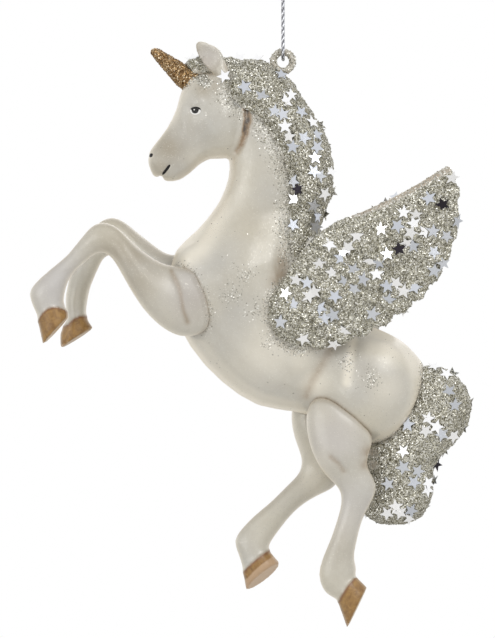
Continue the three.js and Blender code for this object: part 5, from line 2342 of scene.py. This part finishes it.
SHOULDER_FOLD = ((172, 271), (180, 289), (184, 311), (188, 322))
STIFLE_DIMPLE = ((330, 456), (337, 462), (343, 470))
LEGS = (
    Leg(
        "near_foreleg",
        Hoof((40, 320), (69, 312), 2.0 * MM, (45, 343)),
        root=(178, 290),
        seam=0.3,
        seam_dust=0.15,
        sole_turn=(0.88, 0.97),
        creases=(Crease(SHOULDER_FOLD, 0.45 * MM, 0.35),),
        # Painted shade in the shoulder fold.
        folds=(Crease(SHOULDER_FOLD, 0.9 * MM, 0.75),),
        grooves=(Groove(SHOULDER_FOLD, 0.8 * MM, 0.35 * MM),),
        greys=(
            Wash((120, 250), 6.0 * MM, 0.6),
            Wash((136, 256), 5.0 * MM, 0.65),
            Wash((142, 277), 6.0 * MM, 0.5),
            Wash((194, 295), 5.0 * MM, 0.68),
        ),
        colds=(Wash((190, 295), 7.0 * MM, 0.45), Wash((60, 285), 9.0 * MM, 0.6)),
    ),
    Leg(
        "far_foreleg",
        Hoof((69, 323), (92, 318), 1.0 * MM, (63, 348)),
        root=(178, 290),
        seam=0.3,
        seam_dust=0.15,
    ),
    Leg(
        "near_hind_leg",
        Hoof((339, 598), (354, 577), 0.3 * MM, (350, 622)),
        root=(340, 430),
        seam=0.65,
        creases=(Crease(STIFLE_DIMPLE, 0.6 * MM, 0.4),),
        stains=(Wash((367, 451), 1.5 * MM, 0.6), Wash((366, 463), 1.5 * MM, 0.6)),
        grooves=(Groove(STIFLE_DIMPLE, 0.8 * MM, 0.3 * MM),),
        greys=(Wash((335, 432), 6.0 * MM, 0.2), Wash((340, 550), 5.0 * MM, 0.25)),
        colds=(Wash((335, 435), 7.0 * MM, 0.5), Wash((345, 510), 8.0 * MM, 0.4)),
        # Painted highlight spot.
        painted_highlights=(Wash((318, 458), 3.0 * MM, 0.4),),
    ),
    Leg(
        "far_hind_leg",
        Hoof((245, 571), (268, 552), 0.3 * MM, (252, 586)),
        root=(340, 430),
        seam=0.65,
        # Painted highlight spot.
        painted_highlights=(Wash((312, 480), 4.0 * MM, 0.5),),
        shown_wall=1.6 * MM,
    ),
)
MANE_STARS = StarChart(
    white=(
        (224, 76), (239, 56), (192, 58), (256, 54), (291, 95), (286, 101), (285, 126), (289, 136), (312, 122),
        (330, 171), (295, 199), (324, 194), (310, 242),
    ),
    pale=(
        (281, 75), (245, 87), (262, 96), (275, 111), (283, 114), (293, 147), (316, 135), (317, 147),
        (294, 181), (313, 206), (317, 216), (294, 225), (315, 227), (304, 138), (320, 176),
        (301, 112), (315, 158), (314, 171),
    ),
    dark=((298, 189),),
)
WING_STARS = StarChart(
    white=(
        (452, 178), (404, 212), (416, 214), (381, 229), (414, 223), (411, 232), (425, 231), (407, 243),
        (357, 236), (349, 247), (330, 244), (310, 242), (298, 242), (319, 264), (332, 272), (370, 260),
        (377, 274), (396, 283), (404, 291), (296, 280), (286, 293), (308, 296), (315, 291), (303, 338),
        (345, 331), (334, 344), (343, 252),
    ),
    pale=(
        (424, 179), (429, 198), (457, 221), (433, 231), (447, 236), (398, 226), (413, 246), (434, 252),
        (434, 271), (443, 263), (379, 262), (387, 254), (363, 279), (354, 269), (354, 289), (387, 286),
        (389, 300), (415, 287), (307, 283), (293, 304), (320, 308), (324, 319), (333, 315), (373, 314),
        (281, 322), (341, 258), (335, 296), (345, 280),
    ),
    dark=((443, 204), (399, 249)),
)
TAIL_STARS = StarChart(
    white=(
        (434, 367), (446, 374), (428, 418), (426, 431), (436, 427), (403, 451), (396, 507),
        (387, 513), (400, 512), (428, 483), (453, 436), (427, 490), (409, 518),
    ),
    pale=(
        (449, 391), (455, 405), (442, 434), (418, 471), (388, 484), (411, 510), (414, 482), (408, 425),
        (403, 467),
    ),
    dark=((437, 465),),
)
LEADING_EDGE = ((352, 212), (378, 203), (410, 187), (430, 175), (446, 168))
GLITTER = (
    GlitterPiece(
        "mane",
        seed=11,
        flakes=7000,
        stars=80,
        chart=MANE_STARS,
        passes=6,
        deep=0.12,
        feather=2.6 * MM,
        thin=(Wash((198, 74), 2.6 * MM, 0.8),),
        stain=0.3,
        thin_height=0.9 * MM,
    ),
    GlitterPiece(
        "tail",
        seed=21,
        flakes=7000,
        stars=46,
        chart=TAIL_STARS,
        passes=6,
        grit=0.05 * MM,
        lumps=0.08 * MM,
        flake_size=(0.1, 0.17),
        deep=0.06,
        thin=(Wash((373, 452), 1.5 * MM, 0.95), Wash((373, 464), 1.5 * MM, 0.95)),
        stain=0.45,
    ),
    GlitterPiece(
        "near_wing",
        seed=31,
        flakes=7500,
        stars=6,
        chart=WING_STARS,
        plain_edge=LEADING_EDGE,
        bare_side=Side.FAR,
    ),
    GlitterPiece(
        "far_wing",
        seed=41,
        flakes=7500,
        stars=112,
        plain_edge=LEADING_EDGE,
        bare_side=Side.NEAR,
    ),
    GlitterPiece(
        "hanging_eye",
        seed=51,
        flakes=700,
        passes=4,
        voxel=0.25 * MM,
        grit=0.03 * MM,
        lumps=0.03 * MM,
        thin=(Wash((283, 61), 9 * MM, 0.85),),
        stain=0.25,
    ),
    GlitterPiece(
        "horn",
        seed=61,
        flakes=1600,
        slot=Slot.GOLD,
        passes=4,
        voxel=0.25 * MM,
        grit=0.06 * MM,
        lumps=0.05 * MM,
        flake_size=(0.11, 0.18),
    ),
)


def main() -> None:
    """Builds the studio, the cord and every piece, and reports each."""
    logging.basicConfig(level=logging.INFO, format="%(name)s: %(message)s")
    Studio().build()
    finishes = Finishes()
    HangingCord().build(finishes)

    body = BodyCasting()
    trunk = body.sculpt()
    skin = trunk.tree()
    legs = [leg.sculpt(skin) for leg in LEGS]
    skins = [skin, *(leg.tree() for leg in legs)]
    coated = [piece.sculpt(skins) for piece in GLITTER]
    shapes = Shapes()
    body.dress(trunk, legs, coated[:4], shapes, finishes)
    for leg, cast in zip(LEGS, legs):
        leg.dress(cast, [trunk], finishes)
    for piece, cast in zip(GLITTER, coated):
        piece.dress(cast, skin, shapes, finishes)
    FacePaint().build(trunk, finishes)

    for name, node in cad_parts.items():
        if name.endswith("_pin"):
            node.data.materials.clear()
            node.data.materials.append(finishes.wire)


if __name__ == "__main__":
    main()
